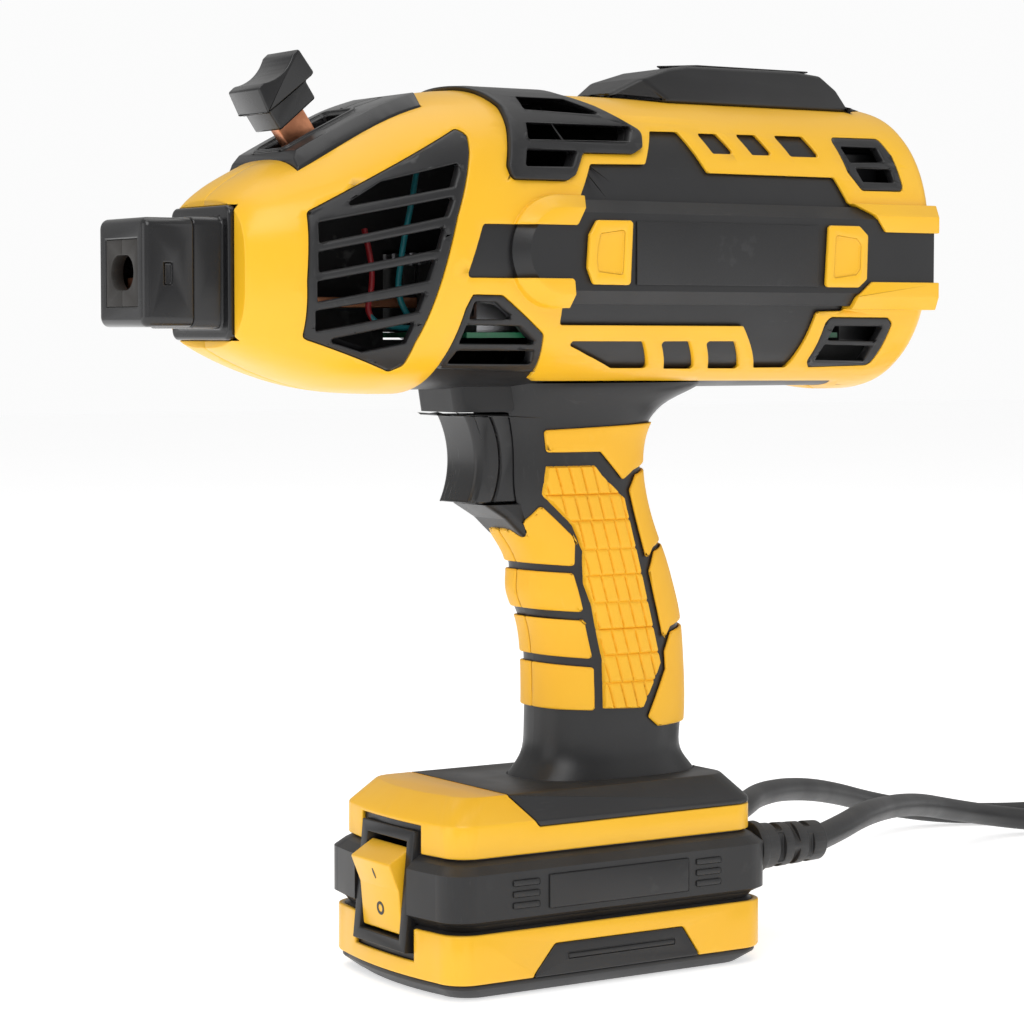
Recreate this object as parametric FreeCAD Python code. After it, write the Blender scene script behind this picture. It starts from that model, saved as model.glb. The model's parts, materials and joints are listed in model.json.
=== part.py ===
"""Hand-held inverter stick welder, modelled as the separate pieces it is built from.

Frame: millimetres, origin at the middle of the rubber foot's underside, +Z up,
the electrode nose towards -X, the trigger hand's left side towards -Y.
Each piece is written to parts/NODE.step.
"""
import FreeCAD, Part
import math
import os

V = FreeCAD.Vector

# ---------------------------------------------------------------- driving dimensions
SKIN = 1.2                  # yellow overmould thickness
WALL = 2.2                  # black shell wall behind it
GAP = 0.3                   # air between pieces that move past each other

BARREL_HALF_WIDTH = 46.5
BARREL_BOTTOM = 181.0
BARREL_TOP = 273.3
BARREL_REAR = 118.0
BARREL_ROUNDING = 5.0       # round at the rear rim
BARREL_EXPONENT = 2.35      # superellipse exponent of the full section
# nose-to-shoulder sections: x, bottom, top, half width, exponent
SNOUT = [
    (-121.0, 195.0, 238.0, 25.5, 3.0),
    (-114.0, 191.3, 243.8, 30.0, 2.8),
    (-104.0, 187.2, 249.3, 34.5, 2.6),
    (-90.0, 183.2, 256.6, 39.0, 2.5),
    (-72.0, 181.2, 265.8, 43.2, 2.4),
    (-54.0, 181.0, 271.4, 45.8, 2.35),
    (-36.0, 181.0, 273.3, 46.5, 2.35),
]

RAIL_FACE_Y = 51.5          # outer face of the side rail
RAIL_LOW, RAIL_HIGH = 206.8, 240.2
RAIL_BEVEL = 3.9
RAIL_NOSE_X = -28.5         # centre of the rail's round front end

FRONT_WALL_X = -117.6       # inner face of the shell's front wall
NOSE_FRONT = -147.7
NOSE_AXIS_Z = 216.7         # height of the electrode
NOSE_HALF_W, NOSE_HALF_H = 15.3, 15.6
NOSE_GROOVE_X = -132.0
FLANGE_X = (-122.6, -119.8)
NOSE_BORE = (12.0, 203.2, 230.3)   # half width, floor and roof of the hollow nose
MOUTH = (10.35, 206.9, 226.2)      # half width, bottom and top of the insulator window
ELECTRODE_R = 2.0

LEVER_PIVOT = V(-104.0, 0, 236.0)
LEVER_THICK = 5.2
LEVER_PIN_R = 2.5

GRIP_HALF_Y = 17.0
# grip sections: z, front x, rear x, half width
GRIP = [
    (56.0, -12.0, 51.5, 19.5),
    (61.0, -11.0, 50.5, 18.6),
    (66.0, -7.4, 46.8, 17.2),
    (74.0, -6.0, 46.4, 17.0),
    (97.0, -6.0, 46.2, 17.0),
    (111.0, -8.6, 44.6, 17.0),
    (119.0, -11.6, 42.4, 17.0),
    (127.0, -11.6, 39.6, 17.0),
    (138.0, -18.0, 35.0, 17.0),
    (150.0, -22.5, 31.4, 17.0),
    (164.0, -23.0, 30.8, 17.2),
    (172.0, -24.0, 34.0, 18.0),
    (178.0, -25.0, 41.0, 20.0),
    (184.0, -26.0, 54.0, 22.5),
]
GRIP_EXPONENT = 2.6

BASE_X, BASE_Y = 59.3, 37.35       # half length and half width of the lower band
BASE_CORNER = 9.0
FOOT_TOP = 5.0
LOWER_TOP = 20.1
UPPER_LOW, UPPER_HIGH = 42.5, 52.4
BASE_TOP = 60.0
UPPER_INSET = 2.4
WAIST_FACE = (24.2, 38.2)          # the waist band's upright face
WAIST_OUT = 1.0                    # how far it stands out past the lower band

SWITCH_Z = (12.1, 49.2)            # rocker switch bezel
SWITCH_HALF_W = 15.5
SWITCH_LEAN = 5.7                  # degrees, top leaning back
ROCKER_HALF_W = 11.5
ROCKER_PIVOT = V(-56.5, 0, 30.3)

TRIGGER_TRAVEL = 6.0
SWITCH_BUTTON_X = -4.6             # front of the micro switch's button behind the trigger
TRIGGER_HALF_W = 9.7
TRIGGER_HOLLOW_R = 28.9             # radius of its hollow front
TRIGGER_WAIST_X = -32.9             # deepest point of the hollow

FAN_X = (92.0, 107.0)
FAN_HALF = 30.0
FAN_AXIS_Z = 227.0
BOARD_TOP = 199.6              # upper face of the power board

CORD_D = 8.4
RELIEF_END_X = 88.0
COIL_RADII = (37.6, 46.0, 54.4)    # turn radii of the lower layer of a coil
COIL_HEIGHT = 16.6
SCREWS = [(-90.0, 190.5), (60.0, 187.5), (100.0, 266.5), (2.0, 66.0), (36.0, 66.0), (20.0, 140.0)]
SCREW_BOSS_R = 3.6
SCREW_REACH = 8.0
PLUG_TILT = 9.6
PLUG_START = V(16.0, -34.0, 21.4)   # from the middle of the mains coil
CLAMP_THICK = 20.0
CLAMP_PIVOT_X = 52.0
CLAMP_PIN_R = 2.6
CLAMP_HEADING = -120.0
CLAMP_ORIGIN = V(429.2, -20.4, 0.0)
MAINS_COIL = (278.0, -16.0)
EARTH_COIL = (398.0, 60.0)

WIRE_D = 1.8
# two short insulated wires, from their board end to their far end
WIRE_ROUTES = [
    [(-50.5, -22.0, 201.6), (-64.0, -22.0, 202.5), (-68.8, -22.0, 211.0), (-66.4, -22.0, 226.8),
     (-63.6, -22.0, 238.0), (-60.5, -21.0, 252.0)],
    [(-50.5, -27.0, 201.6), (-68.0, -24.5, 200.6), (-78.5, -20.0, 203.0), (-75.4, -20.0, 216.0),
     (-76.0, -15.5, 230.0)],
]

MAINS_ROUTE = [
    (88.0, -24.5, 34.5), (104.0, -16.5, 35.4), (128.0, 1.0, 35.4), (156.0, 23.5, 32.4),
    (184.0, 46.0, 28.2), (212.0, 66.5, 23.2), (241.0, 85.0, 16.5), (273.0, 101.0, 9.5),
    (298.3, 100.2, 5.0), (320.0, 87.2, 4.2), (332.5, 65.3, 4.2), (333.8, 40.0, 4.2),
    (332.4, 17.0, 4.2), (332.4, -2.0, 4.2),
]
EARTH_ROUTE = [
    (88.0, 24.5, 34.5), (102.0, 33.5, 36.0), (122.0, 52.0, 36.0), (146.0, 69.5, 34.0),
    (174.0, 87.0, 29.6), (204.0, 107.0, 22.8), (231.0, 125.0, 15.6), (256.0, 136.0, 9.4),
    (281.0, 135.5, 4.8), (303.0, 123.0, 4.2), (328.0, 117.0, 4.2), (356.0, 114.6, 4.2),
    (382.0, 114.4, 4.2),
]


# ---------------------------------------------------------------- shape helpers
def fused(shapes):
    """One solid from several that touch or overlap."""
    whole = shapes[0]
    for shape in shapes[1:]:
        whole = whole.fuse(shape)
    return whole.removeSplitter()


def mirrored(shape):
    """The same piece on the other side of the middle plane y = 0."""
    return shape.mirror(V(0, 0, 0), V(0, 1, 0))


def box(x, y, z):
    """Block from (low, high) pairs along each axis."""
    return Part.makeBox(x[1] - x[0], y[1] - y[0], z[1] - z[0], V(x[0], y[0], z[0]))


def rod(start, end, radius):
    """Cylinder between two points."""
    along = end - start
    return Part.makeCylinder(radius, along.Length, start, along)


def tube(start, end, outer, inner):
    """Hollow cylinder between two points."""
    return rod(start, end, outer).cut(rod(start, end, inner))


def arc_corner(before, corner, after, radius):
    """Tangent points and middle of a round of this radius at a corner of a polyline."""
    back = (before - corner).normalize()
    ahead = (after - corner).normalize()
    turn = math.pi - back.getAngle(ahead)
    reach = radius * math.tan(turn / 2)
    middle = (back + ahead).normalize()
    depth = radius * (1 / math.cos(turn / 2) - 1)
    return corner + back * reach, corner + middle * depth, corner + ahead * reach


def outline(points, radius=0.0, y=0.0):
    """Closed wire in an XZ plane through (x, z) points, its corners rounded alike."""
    corners = [V(x, y, z) for x, z in points]
    count = len(corners)
    if not radius:
        return Part.makePolygon(corners + corners[:1])
    rounds = []
    for i, corner in enumerate(corners):
        before, after = corners[i - 1], corners[(i + 1) % count]
        short = min((before - corner).Length, (after - corner).Length)
        turn = math.pi - (before - corner).getAngle(after - corner)
        limit = 0.42 * short / max(math.tan(turn / 2), 1e-6)
        rounds.append(arc_corner(before, corner, after, min(radius, limit)))
    edges = []
    for i, (start, middle, end) in enumerate(rounds):
        edges.append(Part.Arc(start, middle, end).toShape())
        edges.append(Part.LineSegment(end, rounds[(i + 1) % count][0]).toShape())
    return Part.Wire(edges)


def slab(points, y_low, y_high, radius=0.0):
    """Prism of an XZ outline between two y planes."""
    face = Part.Face(outline(points, radius, y_low))
    return face.extrude(V(0, y_high - y_low, 0))


def superellipse(x, low, high, half_width, exponent, inset=0.0):
    """Closed section across X: |y/a|^n + |z/b|^n = 1, pulled in by the inset."""
    a = half_width - inset
    b = (high - low) / 2 - inset
    middle = (high + low) / 2
    steps = 28
    points = []
    for i in range(steps):
        t = 2 * math.pi * i / steps
        c, s = math.cos(t), math.sin(t)
        points.append(V(x, a * math.copysign(abs(c) ** (2 / exponent), c),
                        middle + b * math.copysign(abs(s) ** (2 / exponent), s)))
    curve = Part.BSplineCurve()
    curve.interpolate(points, PeriodicFlag=True)
    return Part.Wire(curve.toShape())


def barrel(inset):
    """Solid of the barrel's outer form, pulled in all round by the inset."""
    front, *rest = SNOUT
    sections = [(front[0] + inset, *front[1:]), *rest]
    snout = Part.makeLoft([superellipse(*s, inset) for s in sections], True, False)
    full = (BARREL_BOTTOM, BARREL_TOP, BARREL_HALF_WIDTH, BARREL_EXPONENT)
    start, end = SNOUT[-1][0], BARREL_REAR - BARREL_ROUNDING
    body = Part.Face(superellipse(start, *full, inset)).extrude(V(end - start, 0, 0))
    rim = []
    for i in range(5):
        t = i / 4 * math.pi / 2
        pulled = BARREL_ROUNDING * (1 - math.cos(t))
        rim.append(superellipse(end + (BARREL_ROUNDING - inset) * math.sin(t), *full,
                                inset + pulled))
    rear_round = Part.makeLoft(rim, True, True)
    return fused([snout, body, rear_round])


def rail(inset):
    """Solid of the left rail: a long bar with a round front end and bevelled edges."""
    low, high = RAIL_LOW + inset, RAIL_HIGH - inset
    rear = BARREL_REAR - 0.6 - inset

    def section(y, shrink):
        z0, z1 = low + shrink, high - shrink
        radius = (z1 - z0) / 2
        centre_z = (z0 + z1) / 2
        top = V(RAIL_NOSE_X, y, z1)
        bottom = V(RAIL_NOSE_X, y, z0)
        nose = V(RAIL_NOSE_X - radius, y, centre_z)
        far = rear - shrink / 2
        return Part.Wire([
            Part.Arc(bottom, nose, top).toShape(),
            Part.LineSegment(top, V(far, y, z1)).toShape(),
            Part.LineSegment(V(far, y, z1), V(far, y, z0)).toShape(),
            Part.LineSegment(V(far, y, z0), bottom).toShape(),
        ])

    face_y = -(RAIL_FACE_Y - inset)
    root = Part.Face(section(-36.0, 0.0)).extrude(V(0, 36.0 - (RAIL_FACE_Y - inset - RAIL_BEVEL), 0))
    bevel = Part.makeLoft([section(face_y + RAIL_BEVEL, 0.0), section(face_y, RAIL_BEVEL)],
                          True, True)
    return fused([root, bevel])


def hull_form(inset):
    """Barrel with both side rails."""
    left = rail(inset)
    return fused([barrel(inset), left, mirrored(left)])


def grip_form(inset):
    """Solid of the pistol grip, from the base deck up into the barrel."""
    wires = []
    for z, front, rear, half in GRIP:
        a = (rear - front) / 2 - inset
        b = half - inset
        middle = (front + rear) / 2
        points = []
        for i in range(24):
            t = 2 * math.pi * i / 24
            c, s = math.cos(t), math.sin(t)
            points.append(V(middle + a * math.copysign(abs(c) ** (2 / GRIP_EXPONENT), c),
                            b * math.copysign(abs(s) ** (2 / GRIP_EXPONENT), s), z))
        curve = Part.BSplineCurve()
        curve.interpolate(points, PeriodicFlag=True)
        wires.append(Part.Wire(curve.toShape()))
    return Part.makeLoft(wires, True, False)


def base_ring(z, inset, bow=2.6):
    """Plan outline of the base at a height: rounded rectangle with a bowed front."""
    x, y, r = BASE_X - inset, BASE_Y - inset, BASE_CORNER
    c = r * (1 - math.sqrt(0.5))
    return Part.Wire([
        Part.Arc(V(-x, -y + r, z), V(-x - bow, 0, z), V(-x, y - r, z)).toShape(),
        Part.Arc(V(-x, y - r, z), V(-x + c, y - c, z), V(-x + r, y, z)).toShape(),
        Part.LineSegment(V(-x + r, y, z), V(x - r, y, z)).toShape(),
        Part.Arc(V(x - r, y, z), V(x - c, y - c, z), V(x, y - r, z)).toShape(),
        Part.LineSegment(V(x, y - r, z), V(x, -y + r, z)).toShape(),
        Part.Arc(V(x, -y + r, z), V(x - c, -y + c, z), V(x - r, -y, z)).toShape(),
        Part.LineSegment(V(x - r, -y, z), V(-x + r, -y, z)).toShape(),
        Part.Arc(V(-x + r, -y, z), V(-x + c, -y + c, z), V(-x, -y + r, z)).toShape(),
    ])


def base_block(levels):
    """Solid through (z, inset) plan outlines joined by straight sides."""
    parts = []
    for (z0, i0), (z1, i1) in zip(levels, levels[1:]):
        parts.append(Part.makeLoft([base_ring(z0, i0), base_ring(z1, i1)], True, True))
    return fused(parts)


def split(shape, side):
    """The half of a shape on one side of y = 0: side -1 is left, +1 is right."""
    y = (-200.0, 0.0) if side < 0 else (0.0, 200.0)
    return shape.common(box((-300, 300), y, (-50, 400)))


def cord_path(points):
    """Straight runs joined by tangent arcs, each as large as its two runs allow."""
    knots = [V(*p) for p in points]
    edges = []
    start = knots[0]
    radii = []
    for before, corner, after in zip(knots, knots[1:], knots[2:]):
        turn = math.pi - (before - corner).getAngle(after - corner)
        short = min((before - corner).Length, (after - corner).Length)
        radius = 0.45 * short / math.tan(turn / 2)
        radii.append(round(radius, 1))
        enter, middle, leave = arc_corner(before, corner, after, radius)
        edges.append(Part.LineSegment(start, enter).toShape())
        edges.append(Part.Arc(enter, middle, leave).toShape())
        start = leave
    edges.append(Part.LineSegment(start, knots[-1]).toShape())
    return Part.Wire(edges), radii


def cord(name, points):
    """Round cord along a route; prints its bend radii and its volume check."""
    path, radii = cord_path(points)
    first, second = V(*points[0]), V(*points[1])
    section = Part.Wire(Part.makeCircle(CORD_D / 2, first, second - first))
    solid = path.makePipeShell([section], True, False)
    ideal = math.pi * CORD_D ** 2 / 4 * path.Length
    print(name, "length", round(path.Length, 1), "radii", radii, "volume ratio",
          round(solid.Volume / ideal, 4))
    return solid


# ---------------------------------------------------------------- outlines on the left side, (x, z)
SIDE_PANEL = [
    (-13.7, 249.8), (6.6, 250.3), (13.2, 260.9), (23.8, 261.1), (29.5, 248.3), (79.0, 248.3),
    (82.9, 240.4), (89.5, 236.6), (93.5, 231.2), (125.0, 231.2), (125.0, 215.5), (88.1, 215.5),
    (82.5, 211.0), (82.9, 206.5), (72.4, 206.2), (70.9, 188.5), (58.0, 188.5), (45.0, 201.6),
    (-23.8, 201.8), (-25.1, 215.5), (-58.5, 215.5), (-53.4, 231.2), (-24.0, 231.2),
    (-19.1, 240.1),
]
WINDOWS = [
    [(30.9, 260.9), (38.5, 261.0), (42.0, 254.6), (33.8, 254.5)],
    [(45.8, 261.1), (53.9, 261.2), (57.0, 254.7), (49.0, 254.6)],
    [(61.0, 261.3), (72.8, 261.4), (75.8, 254.7), (64.1, 254.6)],
    [(-21.3, 197.0), (9.2, 196.9), (16.8, 188.6), (2.8, 188.7)],
    [(15.6, 196.9), (26.6, 196.9), (34.8, 188.3), (23.1, 188.4)],
    [(32.7, 196.9), (44.3, 196.9), (52.5, 188.3), (40.1, 188.4)],
]
FRONT_GRILLE = [
    (-104.6, 198.0), (-105.3, 214.3), (-104.4, 233.9), (-55.9, 259.3), (-53.2, 257.3),
    (-54.5, 252.1), (-61.4, 233.1), (-71.0, 196.5), (-71.4, 190.0), (-75.0, 188.2),
]
FRONT_SLOTS = [
    [(-95.0, 235.3), (-82.5, 242.9), (-58.5, 248.8), (-61.9, 241.7)],
    [(-101.7, 230.9), (-62.0, 238.8), (-64.5, 233.1), (-101.9, 225.0)],
    [(-102.2, 222.5), (-65.4, 230.0), (-67.4, 223.5), (-102.1, 216.6)],
    [(-102.5, 214.1), (-68.2, 220.7), (-70.2, 214.5), (-102.2, 208.2)],
    [(-102.5, 205.7), (-70.7, 211.2), (-72.4, 205.5), (-101.4, 199.8)],
    [(-98.0, 197.3), (-72.7, 202.7), (-73.9, 196.5), (-86.3, 193.9)],
]
BELLY_VENT = [
    (-59.9, 189.0), (-57.5, 206.3), (-55.9, 210.6), (-45.9, 210.4), (-28.5, 199.1),
    (-25.9, 191.6), (-24.5, 187.5),
]
BELLY_SLOTS = [
    [(-54.9, 208.5), (-47.9, 208.4), (-40.3, 203.5), (-55.7, 203.5)],
    [(-56.0, 201.7), (-38.0, 201.5), (-29.2, 196.1), (-56.5, 196.3)],
    [(-56.1, 194.2), (-29.9, 194.1), (-28.0, 190.1), (-57.2, 190.4)],
]
TOP_CAP = [
    (-44.5, 280.0), (-38.7, 271.5), (-37.4, 266.5), (-39.1, 260.4), (-43.7, 248.3),
    (-42.9, 244.4), (-23.8, 244.5), (-20.6, 246.2), (-16.1, 253.1), (2.2, 253.3),
    (6.5, 255.4), (8.8, 260.7), (-2.0, 268.5), (-9.5, 272.5), (-12.0, 280.0),
]
TOP_SLOTS = [
    [(-28.3, 270.3), (-11.2, 270.3), (-1.9, 265.4), (-30.1, 266.1)],
    [(-32.4, 261.8), (5.6, 262.0), (2.2, 257.3), (-34.4, 256.6)],
    [(-36.0, 253.4), (-18.0, 253.6), (-21.3, 248.7), (-37.9, 248.4)],
]
REAR_UPPER_VENT = [
    (83.7, 261.5), (103.9, 261.7), (105.9, 255.8), (106.6, 244.6), (89.4, 244.5), (85.3, 250.2),
]
REAR_UPPER_SLOTS = [
    [(86.3, 258.6), (101.0, 258.6), (101.5, 253.9), (87.6, 253.4)],
    [(88.9, 251.6), (103.1, 251.6), (103.4, 247.3), (90.6, 247.3)],
]
REAR_LOWER_VENT = [
    (78.8, 204.4), (101.9, 204.3), (104.4, 202.7), (104.3, 189.1), (80.1, 188.6), (77.4, 190.6),
    (77.2, 202.6),
]
REAR_LOWER_SLOTS = [
    [(81.5, 201.6), (101.4, 201.6), (100.3, 196.8), (80.7, 197.2)],
    [(80.5, 195.8), (100.2, 195.3), (100.6, 190.5), (80.2, 190.9)],
]
SIDE_CLIPS = [
    [(-17.4, 232.8), (-4.4, 232.9), (-5.3, 213.7), (-18.7, 213.8), (-20.8, 218.6),
     (-20.1, 228.4)],
    [(70.3, 232.9), (82.5, 232.9), (85.9, 230.0), (85.5, 216.2), (82.3, 213.7), (69.1, 213.7)],
]
SIDE_PLATE_X, SIDE_PLATE_Z = (-2.4, 67.0), (213.8, 232.8)
UNDERSIDE = [
    (-130.0, 170.0), (-60.5, 170.0), (-59.9, 189.0), (-57.5, 206.3), (-55.9, 210.6),
    (-45.9, 210.4), (-28.5, 199.1), (-23.5, 186.0), (-20.0, 184.9), (99.0, 184.0),
    (108.0, 180.0), (112.0, 170.0),
]
DECK = [(-102.0, 240.0), (-102.0, 290.0), (-60.0, 290.0), (-60.0, 240.0)]
DECK_TOP = [(-101.8, 251.6), (-96.0, 254.8), (-88.0, 259.0), (-80.0, 263.0), (-72.0, 266.8),
            (-66.0, 269.0), (-60.2, 270.8)]
BASE_TAB = [(-31.0, 0.0), (-30.0, 6.0), (-22.5, 14.8), (25.5, 14.8), (31.5, 6.0), (33.0, 0.0)]
GRIP_PADS = {
    "top": [(-11.8, 162.7), (7.3, 162.6), (16.4, 153.6), (21.2, 156.4), (34.0, 160.0),
            (40.0, 171.6), (-12.8, 169.6)],
    "tread": [(-11.5, 158.3), (5.2, 158.3), (7.7, 155.4), (16.8, 148.0), (18.9, 140.4),
              (30.8, 95.3), (28.9, 91.2), (23.7, 81.3), (9.3, 81.9), (8.9, 97.3),
              (4.9, 114.5), (2.0, 121.4), (1.4, 131.6), (-2.5, 139.8), (-12.6, 149.5)],
    "rear_upper": [(19.3, 150.3), (22.6, 155.0), (45.0, 160.0), (45.0, 137.0), (29.0, 131.8),
                   (25.6, 128.0)],
    "rear_middle": [(26.5, 124.4), (29.4, 130.5), (50.0, 136.0), (52.0, 110.0), (35.6, 106.4),
                    (32.3, 102.2)],
    "rear_lower": [(32.7, 98.6), (35.8, 104.7), (55.0, 108.0), (55.0, 75.5), (30.0, 75.1),
                   (25.8, 78.3), (33.1, 93.1)],
    "finger_1": [(-13.2, 146.3), (-1.7, 135.7), (-1.2, 127.1), (-30.0, 129.3),
                 (-30.0, 136.0), (-19.5, 138.0)],
    "finger_2": [(-1.6, 124.9), (2.1, 112.6), (-30.0, 114.9), (-30.0, 126.9)],
    "finger_3": [(2.5, 109.9), (5.4, 97.8), (-30.0, 101.0), (-30.0, 112.4)],
    "finger_4": [(5.8, 95.1), (6.2, 81.6), (-30.0, 83.0), (-30.0, 98.7)],
}


def through_side(points, radius=1.0):
    """Cutter for the left wall of the barrel from an XZ outline."""
    return slab(points, -60.0, -4.0, radius)


def both_sides(shape):
    """A left-hand shape together with its mirror image."""
    return Part.makeCompound([shape, mirrored(shape)])


# ---------------------------------------------------------------- sub-parts
def vent_insert(points, slots, depth=3.0, proud=0.0):
    """Slotted plate that fills an opening in the left side of the barrel."""
    layer = barrel(-proud).cut(barrel(depth))
    plate = layer.common(through_side(points, 2.0))
    for slot in slots:
        plate = plate.cut(through_side(slot, 0.6))
    return plate


def grown(points, amount):
    """Outline pushed outwards from its middle by about the given amount."""
    cx = sum(p[0] for p in points) / len(points)
    cz = sum(p[1] for p in points) / len(points)
    pushed = []
    for x, z in points:
        reach = math.hypot(x - cx, z - cz)
        pushed.append((x + (x - cx) * amount / reach, z + (z - cz) * amount / reach))
    return pushed


def trigger_housing():
    """Block in front of the grip that guides the trigger."""
    top = slab([(-43.0, 186.0), (-41.2, 175.3), (-22.0, 175.3), (-14.0, 186.0)], -12.0, 12.0)
    top = top.makeFillet(3.0, [e for e in top.Edges if is_side_edge(e) and e.CenterOfMass.x < -41])
    lip = slab([(-30.2, 146.6), (-22.5, 142.0), (-17.0, 137.0), (-10.0, 132.0), (-10.0, 146.6)],
               -11.0, 11.0)
    lip = lip.makeFillet(2.6, [e for e in lip.Edges if is_side_edge(e)
                               and e.CenterOfMass.x < -11.0 and e.CenterOfMass.z < 146.0])
    return fused([top, lip])


def is_side_edge(edge):
    """Whether an edge of a prism lies in one of its two end faces."""
    return abs(edge.tangentAt(edge.FirstParameter).y) < 0.01


def trigger_pocket():
    """Room inside the grip for the trigger and its travel."""
    return box((-44.0, -5.0), (-10.2, 10.2), (146.8, 175.0))


def base_core_outer():
    """Outer form of the black base shell: waist band, decks and the flare to the grip."""
    low, high = WAIST_FACE
    return base_block([
        (FOOT_TOP, 1.5), (LOWER_TOP, 1.5), (LOWER_TOP + 0.6, 2.6), (low - 1.6, 1.4),
        (low, -WAIST_OUT), (high, -WAIST_OUT), (high + 2.4, 1.4), (UPPER_LOW - 0.4, 3.6),
        (UPPER_HIGH, UPPER_INSET + SKIN), (BASE_TOP - SKIN, UPPER_INSET + 6.4 + SKIN * 0.4),
    ])


def base_hollow():
    """Empty space inside the base shell."""
    return base_block([
        (FOOT_TOP - 1.0, 4.6), (UPPER_HIGH - 1.5, 6.0),
        (BASE_TOP - SKIN - WALL, UPPER_INSET + 6.4 + WALL),
    ])


def at_switch(shape):
    """Lean a switch shape back and move it to the middle of the switch's front."""
    shape.rotate(V(0, 0, 0), V(0, 1, 0), SWITCH_LEAN)
    shape.translate(V(-59.6, 0, sum(SWITCH_Z) / 2))
    return shape


def switch_window():
    """Opening in the base front for the rocker switch, with a seat for its bezel."""
    half_h = (SWITCH_Z[1] - SWITCH_Z[0]) / 2
    way = box((-12.0, 22.0), (-SWITCH_HALF_W + 1.6, SWITCH_HALF_W - 1.6),
              (-half_h + 1.6, half_h - 1.6))
    return at_switch(switch_recess(0.1, 2.5).fuse(way))


def switch_recess(margin, depth):
    """Block a margin larger than the bezel all round, still upright."""
    half_w = SWITCH_HALF_W + margin
    half_h = (SWITCH_Z[1] - SWITCH_Z[0]) / 2 + margin
    return box((-20.0, depth), (-half_w, half_w), (-half_h, half_h))


def nose_passage():
    """Opening through the snout's front end for the jaws."""
    half, floor, roof = NOSE_BORE
    return box((-135.0, -95.0), (-half, half), (floor, roof))


def vent_openings(points, inner):
    """Cutters on the left for a vent: its seat in the wall and the opening behind it."""
    seat = through_side(grown(points, 0.15), 2.0).cut(barrel(3.0))
    return [seat, slab(grown(points, -inner), -60.0, -4.0, 1.0)]


def make_shell():
    """Left black clamshell half: barrel, grip and base in one moulding."""
    outer = fused([hull_form(SKIN), grip_form(0.0), trigger_housing(), base_core_outer()])
    chamber = barrel(SKIN + WALL).common(box((FRONT_WALL_X, 200), (-60, 60), (150, 300)))
    grip_chamber = grip_form(2.4).common(box((-60, 60), (-30, 30), (50, 190)))
    shell = split(outer, -1)
    for hollow in (chamber, grip_chamber, base_hollow()):
        shell = shell.cut(hollow)
    shell = fused([shell] + [split(post, -1) for post in screw_bosses()])
    cuts = [trigger_pocket(), nose_passage(), switch_window(), relief_hole(MAINS_ROUTE[0])]
    cuts.append(box((-106.0, -72.0), (-7.0, 7.0), (244.0, 285.0)))
    cuts.append(rod(V(100, 0, FAN_AXIS_Z), V(125, 0, FAN_AXIS_Z), 31.0))
    for points, inner in (
        (FRONT_GRILLE, 4.0), (BELLY_VENT, 3.0), (REAR_UPPER_VENT, 3.0), (REAR_LOWER_VENT, 3.0),
    ):
        cuts += vent_openings(points, inner)
    cuts += [through_side(slot, 0.6) for slot in TOP_SLOTS]
    cuts += [rod(V(x, -SCREW_REACH, z), V(x, 1, z), 1.5) for x, z in SCREWS]
    for cutter in cuts:
        shell = shell.cut(cutter)
    return shell


def screw_access(shell):
    """The right half's screw holes: countersunk ways in from outside."""
    for x, z in SCREWS:
        shell = shell.cut(rod(V(x, SCREW_REACH, z), V(x, 60, z), 2.9))
    return shell


def make_cover():
    """Yellow overmould on the left side of the barrel."""
    cover = split(hull_form(0.0).cut(hull_form(SKIN)), -1)
    cuts = [through_side(SIDE_PANEL, 1.2), slab(UNDERSIDE, -60.0, 0.0)]
    cuts += [through_side(w, 0.8) for w in WINDOWS]
    for points in (FRONT_GRILLE, BELLY_VENT, REAR_UPPER_VENT, REAR_LOWER_VENT):
        cuts.append(through_side(grown(points, 0.15), 2.0))
    cuts.append(slab(grown(TOP_CAP, 0.15), -60.0, 0.0, 2.0))
    cuts.append(slab(DECK, -22.0, 0.0))
    half, floor, roof = NOSE_BORE
    cuts.append(box((-125, -110), (-half - 6.6, half + 6.6), (197.2, 236.2)))
    cuts.append(rod(V(100, 0, FAN_AXIS_Z), V(125, 0, FAN_AXIS_Z), 34.0))
    for cutter in cuts:
        cover = cover.cut(cutter)
    return cover


def make_top_cap():
    """Saddle over the top of the barrel with three vent slots down each side."""
    band = slab(TOP_CAP, -60.0, 0.0, 2.0)
    cap = barrel(-1.4).cut(barrel(SKIN)).common(band.fuse(mirrored(band)))
    for slot in TOP_SLOTS:
        opening = through_side(slot, 0.6)
        cap = cap.cut(opening).cut(mirrored(opening))
    return cap


def deck_slab(rise, half_width):
    """Block under the deck's smooth top line, lifted by a rise."""
    line = Part.BSplineCurve()
    line.interpolate([V(x, -half_width, z + rise) for x, z in DECK_TOP])
    front = V(DECK_TOP[0][0], -half_width, 235.0)
    rear = V(DECK_TOP[-1][0], -half_width, 235.0)
    start, end = line.StartPoint, line.EndPoint
    wire = Part.Wire([
        line.toShape(), Part.LineSegment(end, rear).toShape(),
        Part.LineSegment(rear, front).toShape(), Part.LineSegment(front, start).toShape(),
    ])
    return Part.Face(wire).extrude(V(0, 2 * half_width, 0))


def tilted_frame(length, width, depth, corner):
    """Block with rounded upright corners, square to the deck at the lever slot."""
    block = box((-length, length), (-width, width), depth)
    upright = [e for e in block.Edges if abs(e.tangentAt(e.FirstParameter).z) > 0.99]
    block = block.makeFillet(corner, upright)
    turn = FreeCAD.Rotation(V(1, 0, 0), V(0.80, 0, 0.60))
    return block.transformGeometry(FreeCAD.Placement(V(-87.5, 0, 259.4), turn).toMatrix())


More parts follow.
